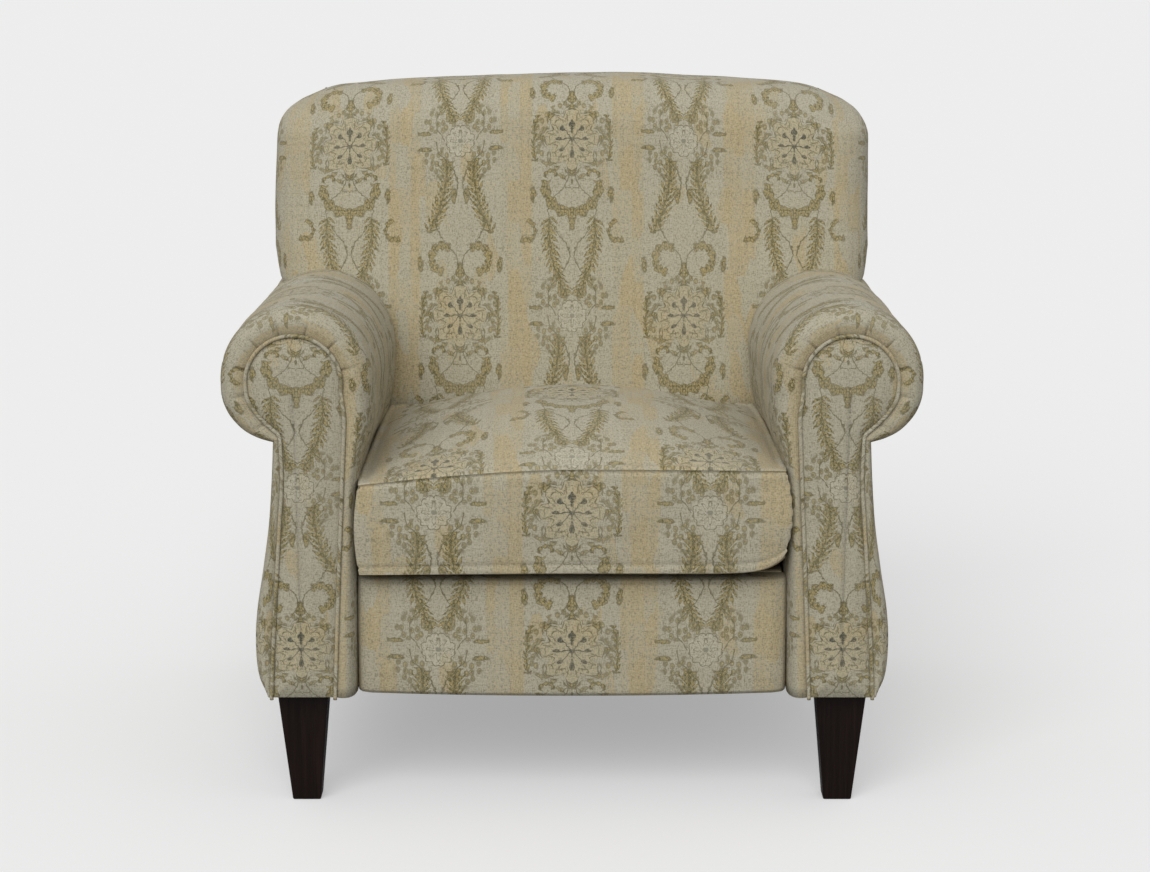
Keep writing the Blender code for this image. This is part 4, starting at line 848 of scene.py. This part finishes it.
def armFacing(side, sign):
    outline = offsetOutline(weltPath(), -arm["facingInset"])
    shares = np.linspace(0, 1, 14)[1:, None]
    foot = outline[-1] + (outline[0] - outline[-1]) * shares
    outline = np.vstack([outline, foot])
    low = np.array((facingCentre[0] - 0.006, arm["bottom"] + 0.040))
    high = np.array(facingCentre)
    share = np.clip((outline[:, 1] - low[1]) / (high[1] - low[1]), 0, 1)
    spine = low + (high - low) * share[:, None]
    spine[:, 1] = np.clip(outline[:, 1], low[1], high[1])
    rows, plans = [], []
    steps = (0.0, 0.02, 0.06, 0.12, 0.2, 0.3, 0.42, 0.56, 0.7, 0.85, 1.0)
    for inward in steps:
        place = outline + (spine - outline) * inward
        crown = 0.0030 - 0.0095 * (1 - (1 - inward) ** 2.6)
        rows.append(placed(sign * place[:, 0], np.full(len(place), crown), place[:, 1]))
        up = (place[:, 1] - arm["rosetteHeight"]) * arm["facingScale"]
        aside = sign * (place[:, 0] - arm["columnAt"]) * arm["facingWide"]
        plans.append(placed(aside, up))
    points = np.array(rows)
    inside = smooth(np.arange(len(steps)), 1, 6)[:, None]
    points[..., 1] += soften(points, 0.07, 0.0009, sign * 9.0) * inside
    centre = (sign * arm["columnAt"], 0.05, 0.35)
    piece = clothPiece(f"armFacing_{side}", [(points, np.array(plans))], centre)
    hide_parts(f"arm_facing_{side}")


for side, sign in (("left", -1), ("right", 1)):
    armCover(side, sign)
    outsideArm(side, sign)
    armWelt(side, sign)
    armFacing(side, sign)
print("arms dressed")

# the back: inside cover with its two ears and its crest, and the panel behind
back = {
    "cornerDrop": 0.0088, "cornerAt": 0.400, "cornerSpread": 0.030,
    "halfWidth": backFace["halfWidth"], "lowerHalf": 0.331, "top": 0.911, "crown": 0.12,
    "edgeRadius": 0.052, "topRadius": 0.066, "earBottom": 0.604,
    "bottom": 0.306, "underEars": 0.598, "earRise": 0.060, "rowsLow": 34, "rowsEar": 30,
    "rowsSide": 26, "rowsTop": 17, "facePlaces": 40, "edgePlaces": 15, "sidePlaces": 9,
    "rosetteHeight": 0.8262, "rearRosette": 0.82, "scaleAcross": 1.06, "scaleUp": 0.955,
}


def backRow(height, halfWidth, rollIn, crowned):
    # one row from the rear seam round one edge, across the face and round the other
    width = halfWidth - rollIn
    radius = max(0.004, min(back["edgeRadius"], width - back["lowerHalf"] + 0.03))
    face = np.linspace(0, width - radius, back["facePlaces"])
    turns = np.radians(np.linspace(0, 90, back["edgePlaces"])[1:])
    xs = np.concatenate([face, width - radius + radius * np.sin(turns)])
    backBy = np.concatenate([np.zeros(len(face)), radius * (1 - np.cos(turns))])
    xs = np.concatenate([-xs[::-1], xs[1:]])
    backBy = np.concatenate([backBy[::-1], backBy[1:]])
    z = height - back["crown"] * xs * xs * crowned
    y = backFaceDepth(xs, height) + backBy + rollIn
    end = rearDepth(z) - seamEase
    shares = np.linspace(0, 1, back["sidePlaces"])
    left = [(xs[0], end[0] + (y[0] - end[0]) * share, z[0]) for share in shares[:-1]]
    right = [(xs[-1], y[-1] + (end[-1] - y[-1]) * share, z[-1]) for share in shares[1:]]
    return np.vstack([left, placed(xs, y, z), right])


def aboveShoulder(z):
    shoulder = back["top"] - back["topRadius"]
    return smooth(z, shoulder - 0.02, shoulder + 0.01)


def cornerDrop(x, z):
    # the crest slopes away to its corners a little below a round
    aside = np.exp(-(((np.abs(x) - back["cornerAt"]) / back["cornerSpread"]) ** 2))
    return back["cornerDrop"] * aside * aboveShoulder(z)


def backRows():
    # upwards: between the arms, out under the ears, up the sides and over the crest
    rows = []
    for height in np.linspace(back["bottom"], back["underEars"], back["rowsLow"]):
        rows.append(backRow(height, back["lowerHalf"], 0.0, 0.0))
    half, ear = back["halfWidth"], back["earBottom"]
    straight = ear + back["earRise"]
    corner = np.array([
        (back["lowerHalf"], ear - 0.003), (half - 0.045, ear), (half - 0.018, ear + 0.003),
        (half - 0.009, ear + 0.011), (half - 0.005, ear + 0.026), (half, straight),
    ])
    for width, height in through(corner, back["rowsEar"]):
        rows.append(backRow(height, width, 0.0, 0.0))
    shoulder = back["top"] - back["topRadius"]
    for height in np.linspace(straight, shoulder, back["rowsSide"])[1:-1]:
        rows.append(backRow(height, half, 0.0, float(smooth(height, straight, shoulder))))
    for turn in np.radians(np.linspace(0, 90, back["rowsTop"])):
        rows.append(backRow(
            shoulder + back["topRadius"] * math.sin(turn), half,
            back["topRadius"] * (1 - math.cos(turn)), 1.0,
        ))
    return rows


def insideBack():
    rows = backRows()
    rising = len(rows)
    last = rows[-1].copy()
    for share in np.linspace(0, 1, 8)[1:]:
        there = last.copy()
        there[:, 1] = last[:, 1] + (rearDepth(last[:, 2]) - seamEase - last[:, 1]) * share
        rows.append(there)
    points = np.array(rows)
    centre = (0, 0.68, 0.55)
    normals = surfaceNormals(points, centre)
    middle = points.shape[1] // 2
    up = travelled(points[:, middle])
    zero = np.interp(back["rosetteHeight"], points[:rising, middle, 2], up[:rising])
    across = travelled(points)
    across = across - across[:, middle : middle + 1]
    lumps = soften(points, 0.16, 0.0030, 2.0) + soften(points, 0.05, 0.0007, 4.0)
    # no lumps low down or at the crest's corners, where the rows run together
    corners = aboveShoulder(points[..., 2]) * smooth(np.abs(points[..., 0]), 0.33, 0.38)
    lumps = lumps * smooth(points[..., 2], 0.50, 0.60) * (1 - corners)
    points = points + normals * lumps[..., None]
    points[..., 2] -= cornerDrop(points[..., 0], points[..., 2])
    v = np.broadcast_to(((up - zero) * back["scaleUp"])[:, None], across.shape)
    plan = placed(across * back["scaleAcross"], v)
    piece = clothPiece("insideBack", [(points, plan)], centre)
    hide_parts("back_cover", "back_pad", "lower_back_pad")


def outsideBack():
    # flat panel over the rear, its edge turned under at the seams
    node = nodes["outside_back_cover"]
    shape = bmesh.new()
    shape.from_mesh(node.data)
    bmesh.ops.remove_doubles(shape, verts=shape.verts, dist=0.0001)
    front = [face for face in shape.faces if face.normal.y < -0.7]
    bmesh.ops.delete(shape, geom=front, context="FACES")
    bmesh.ops.dissolve_limit(shape, angle_limit=0.02, verts=shape.verts, edges=shape.edges)
    for thickness, depth in ((0.0015, 0.0008), (0.0035, 0.0010)):
        inner = [face for face in shape.faces if len(face.verts) > 6]
        bmesh.ops.inset_region(
            shape, faces=inner, thickness=thickness, depth=depth, use_even_offset=True
        )
    for vertex in shape.verts:
        vertex.co.z -= float(cornerDrop(vertex.co.x, vertex.co.z))
    bmesh.ops.triangulate(shape, faces=[face for face in shape.faces if len(face.verts) > 4])
    layer = shape.loops.layers.uv.new("clothPlan")
    for face in shape.faces:
        face.smooth = True
        for loop in face.loops:
            loop[layer].uv = (loop.vert.co.x, loop.vert.co.z - back["rearRosette"])
    mesh = bpy.data.meshes.new("outsideBack")
    shape.to_mesh(mesh)
    shape.free()
    piece = bpy.data.objects.new("outsideBack", mesh)
    bpy.context.scene.collection.objects.link(piece)
    mesh.materials.append(cloth)
    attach(piece, "root")
    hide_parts("outside_back_cover")


insideBack()
outsideBack()
print("back dressed")

# covered front rail between the arms
apron = {
    "front": 0.021, "bow": 0.004, "drop": 0.0035, "railBack": 0.067, "rosetteHeight": 0.205,
    "deckTop": 0.3015, "underDeck": 0.0013, "sideGap": 0.0012,
}


def frontApron():
    top = apron["deckTop"] - clothWall - apron["underDeck"]
    bottom, front = arm["bottom"], apron["front"]
    half = arm["seatHalfWidth"] - apron["sideGap"]
    profile = np.array([
        (0.056, bottom + 0.0012), (front + 0.014, bottom - 0.0015), (front + 0.004, bottom + 0.002),
        (front + 0.0005, bottom + 0.014), (front - 0.001, (bottom + top) / 2),
        (front + 0.001, top - 0.016), (front + 0.006, top - 0.004), (front + 0.016, top),
        (apron["railBack"], top),
    ])
    profile = through(profile, 73)
    knots = (-1.0, -0.985, -0.94, -0.5, 0.0, 0.5, 0.94, 0.985, 1.0)
    tucks = (0.016, 0.006, 0.001, 0.0, 0.0, 0.0, 0.001, 0.006, 0.016)
    shares = crowded(91, 1.5)
    tuck = np.interp(shares, knots, tucks)
    rows = []
    for depth, height in profile:
        bow = apron["bow"] * (1 - shares**2)
        drop = apron["drop"] * (1 - shares**2) * smooth(-height, -0.17, -0.15)
        y = np.minimum(depth + tuck - bow, apron["railBack"])
        rows.append(placed(half * shares, y, height - drop))
    points = np.array(rows)
    points[..., 1] += soften(points, 0.09, 0.0016, 6.0) * smooth(points[..., 2], 0.15, 0.18)
    walked = travelled(np.swapaxes(points, 0, 1)).T
    walked = walked - np.interp(apron["rosetteHeight"], profile[20:60, 1], walked[20:60, 45])
    plan = placed(points[..., 0], walked)
    piece = clothPiece("frontApron", [(points, plan)], (0, 0.06, 0.22))
    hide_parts("front_rail_cover", "front_rail_pad")


frontApron()
print("front rail dressed")

# loose seat cushion: a crowned top, a band all round it and a nearly flat underside
cushion = {
    "halfWidth": 0.2792, "overhang": 0.008, "seamTop": 0.4515, "seamBottom": 0.315,
    "bandHeight": 0.136, "crown": 0.057, "leftSag": 0.0215, "rightLift": 0.024,
    "rearTaper": 0.008, "rearGap": 0.0035, "pinch": 0.004, "deck": 0.3018,
    "cornerFrom": 0.225, "cornerTo": 0.272, "leftCorner": 0.0040, "rightCorner": 0.0062,
    "frontRosette": 0.396, "topRosette": 0.015, "printAcross": 0.985, "printDeep": 1.05,
    "places": 97, "levels": 41, "fill": 0.55, "frontSwell": 0.0030, "sideSwell": 0.0012,
    "ripple": 0.0011, "rippleLength": 0.017,
    # ribs and grooves: height, distance from the seam, half width
    "topRidge": (0.0024, 0.0042, 0.0030), "topGroove": (0.0010, 0.0120, 0.0045),
    "upperGroove": (0.0034, 0.0036, 0.0024), "lowerGroove": (0.0022, 0.0110, 0.0022),
    # unevenness: how wide, how high, and where its noise starts
    "gather": (0.014, 0.0016, 11.0), "slack": (0.12, 0.0052, 12.0), "fine": (0.04, 0.0010, 13.0),
    "bandGather": (0.013, 0.0015, 15.0), "bandSlack": (0.07, 0.0034, 16.0),
}


def cushionPoint(s, t):
    # from shares across and rearwards, -1 to 1, to the place and its two seam heights
    front, rear = -cushion["overhang"], arm["seatDepth"] - cushion["rearGap"]
    pinch = cushion["pinch"] * np.abs(s) ** 6 * np.abs(t) ** 6
    x = s * (cushion["halfWidth"] - pinch - cushion["rearTaper"] * (1 + t) / 2)
    y = (front + rear) / 2 + t * ((rear - front) / 2 - pinch)
    leftward, rightward = np.maximum(0, -s), np.maximum(0, s)
    sag = cushion["leftSag"] * leftward**1.6 * (0.6 - 0.4 * t) + 0.0025 * rightward**2
    lift = cushion["rightLift"] * rightward**13 * np.maximum(0, -t) ** 5
    topSeam = cushion["seamTop"] - sag - 0.006 * (1 + t) / 2
    bottomSeam = cushion["seamBottom"] + lift - 0.15 * sag
    return x, y, topSeam, bottomSeam


def cushionTop(s, t, x, y, topSeam):
    # a ridge and a groove at the seam, gathers beside it, and slack across the crown
    edge = np.minimum((1 - np.abs(s)) * 0.27, (1 - np.abs(t)) * 0.26)
    ridge, groove = raised(edge, cushion["topRidge"]), raised(edge, cushion["topGroove"])
    crown = (1 - np.abs(s) ** 2.2) * (1 - np.abs(t) ** 2.8)
    points = placed(x, y, topSeam + cushion["crown"] * crown)
    gather = soften(points, *cushion["gather"]) * np.exp(-edge / 0.016)
    slack = soften(points, *cushion["slack"]) * smooth(edge, 0.0, 0.07)
    fine = soften(points, *cushion["fine"]) * smooth(edge, 0.0, 0.03)
    points[..., 2] += ridge - groove + (gather + slack + fine) * smooth(edge, 0.0, 0.004)
    up = (y - cushion["topRosette"]) * cushion["printDeep"] - weave["up"] / 2
    return points, placed(x * cushion["printAcross"], up)


def cushionBottom(s, t, x, y, bottomSeam):
    belly = (1 - np.abs(s) ** 7) * (1 - np.abs(t) ** 7)
    low = bottomSeam - (bottomSeam - cushion["deck"]) * belly
    return placed(x, y, low), placed(x, y)


def gridBorder(last):
    # row and column of each border place, once round and closed
    border = [(i, 0) for i in range(last)] + [(last, j) for j in range(last)]
    border += [(i, last) for i in range(last, 0, -1)] + [(0, j) for j in range(last, -1, -1)]
    return np.array(border).T


def cushionBand(topPoints, bottomPoints):
    last = len(topPoints) - 1
    i, j = gridBorder(last)
    x, y, topZ = topPoints[i, j].T
    lowZ = bottomPoints[i, j, 2]
    atFront = j == 0
    outX = np.where(i == last, 1.0, 0.0) - np.where(i == 0, 1.0, 0.0)
    outY = np.where(j == last, 1.0, 0.0) - np.where(atFront, 1.0, 0.0)
    length = np.maximum(np.hypot(outX, outY), 1)
    outX, outY = outX / length, outY / length
    around = travelled(placed(x, y))
    around = around - around[len(topPoints) // 2]
    rightward = smooth(x, cushion["cornerFrom"], cushion["cornerTo"])
    leftward = smooth(-x, cushion["cornerFrom"], cushion["cornerTo"])
    overArms = cushion["rightCorner"] * rightward - cushion["leftCorner"] * leftward
    overArms = overArms * np.exp(-(((y + cushion["overhang"]) / 0.016) ** 2))
    rippled = np.exp(-((np.hypot(x - cushion["cornerTo"], y) / 0.03) ** 2))
    rows, plans = [], []
    for level in (crowded(cushion["levels"], 1.4) + 1) / 2:
        z = lowZ + (topZ - lowZ) * level
        toTop, toLow = (1 - level) * cushion["bandHeight"], level * cushion["bandHeight"]
        toSeam, swell = min(toTop, toLow), math.sin(math.pi * level)
        seams = raised(toTop, cushion["upperGroove"]) + raised(toLow, cushion["lowerGroove"])
        push = np.where(atFront, cushion["frontSwell"], cushion["sideSwell"]) * swell - seams
        wave = z * 2 * math.pi / cushion["rippleLength"] + y * 60
        ripple = cushion["ripple"] * np.sin(wave) * rippled
        rowX = x + outX * (push + ripple) + overArms * swell**0.7
        row = placed(rowX, y + outY * push, z)
        near = math.exp(-toSeam / 0.018) * smooth(toSeam, 0.0, 0.004)
        wave = soften(row, *cushion["bandGather"]) * near
        wave = wave + soften(row, *cushion["bandSlack"]) * smooth(toSeam, 0.0, 0.03)
        row[:, 0] += outX * wave * 0.6
        row[:, 1] += outY * wave
        rows.append(row)
        up = z - cushion["frontRosette"]
        plans.append(placed(around * cushion["printAcross"], up))
    return np.array(rows), np.array(plans)


def seatCushion():
    steps = crowded(cushion["places"], 1.55)
    s, t = np.meshgrid(steps, steps, indexing="ij")
    x, y, topSeam, bottomSeam = cushionPoint(s, t)
    top = cushionTop(s, t, x, y, topSeam)
    bottom = cushionBottom(s, t, x, y, bottomSeam)
    band = cushionBand(top[0], bottom[0])
    piece = clothPiece("seatCushion", [top, bottom, band], (0, 0.25, 0.38), wall=0)
    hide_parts("seat_cushion_cover", "seat_cushion_core", "cushion_zip")


seatCushion()
print("cushion made")

# finish of each node that stays, by the first stem that its name holds
finishOf = {
    "leg_bolt": "springSteel", "leg_block": "frameWood", "leg_": "espresso",
    "spring": "springSteel", "dust_cover": "dustCloth", "deck_cloth": "deckCloth",
    "back_strap": "juteWebbing", "pad": "padFoam",
}
for name, node in nodes.items():
    found = next((finish for stem, finish in finishOf.items() if stem in name), "frameWood")
    node.data.materials.clear()
    node.data.materials.append(wood if found == "espresso" else finishes[found])
print("frame finished")

# pale studio: the floor shows white to the camera and throws only a little light back
room = {
    "floorSize": 1200.0, "floor": 0.92, "bounce": 0.28, "glow": 0.974, "glowShare": 0.36,
    "world": 0.52, "behind": 0.84, "sunStrength": 1.70, "sunAngle": 50.0,
    "sunTurn": (53.0, 0.0, -14.0), "cameraAt": (0.0, -3.7964, 1.149), "cameraTilt": 79.1,
    "lens": 84.52, "shift": 0.0026, "farthest": 1000.0,
}
white = (1.0, 1.0, 1.0, 1.0)


def makeFloor():
    bpy.ops.mesh.primitive_plane_add(size=room["floorSize"], location=(0, 0, 0))
    floor = bpy.context.object
    floor.name = "studioFloor"
    plan = Plan(bpy.data.materials.new("studioFloor"))
    bounce, level = room["bounce"], room["floor"]
    plan.set(Base_Color=(bounce, bounce, bounce, 1.0), Roughness=0.95, Specular_IOR_Level=0.0)
    plain = Wire(plan, plan.shader.outputs[0])
    seen = plan.add("ShaderNodeBsdfDiffuse", {}, {"Color": (level, level, level, 1.0)})
    glow = plan.add("ShaderNodeEmission", {}, {"Color": white, "Strength": room["glow"]})
    pale = plan.add("ShaderNodeMixShader", {}, {0: room["glowShare"], 1: seen, 2: glow})
    plan.show(plain, pale)
    floor.data.materials.append(plan.owner)


def makeWorld():
    plan = Plan(bpy.data.worlds.new("studioWorld"))
    bpy.context.scene.world = plan.owner
    plan.set(Color=white, Strength=room["world"])
    lighting = Wire(plan, plan.shader.outputs[0])
    behind = plan.add("ShaderNodeBackground", {}, {"Color": white, "Strength": room["behind"]})
    plan.show(lighting, behind)


def makeSun():
    lamp = bpy.data.lights.new("studioSun", "SUN")
    lamp.energy = room["sunStrength"]
    lamp.angle = math.radians(room["sunAngle"])
    sun = bpy.data.objects.new("studioSun", lamp)
    sun.rotation_euler = [math.radians(turn) for turn in room["sunTurn"]]
    bpy.context.scene.collection.objects.link(sun)


def makeCamera():
    lens = bpy.data.cameras.new("photoCamera")
    lens.sensor_fit = "HORIZONTAL"
    lens.sensor_width = 36.0
    lens.lens = room["lens"]
    lens.shift_x = room["shift"]
    lens.clip_end = room["farthest"]
    camera = bpy.data.objects.new("photoCamera", lens)
    camera.location = room["cameraAt"]
    camera.rotation_euler = (math.radians(room["cameraTilt"]), 0.0, 0.0)
    bpy.context.scene.collection.objects.link(camera)
    bpy.context.scene.camera = camera


makeFloor()
makeWorld()
makeSun()
makeCamera()
bpy.context.scene.view_settings.view_transform = "Standard"
print("room lit")
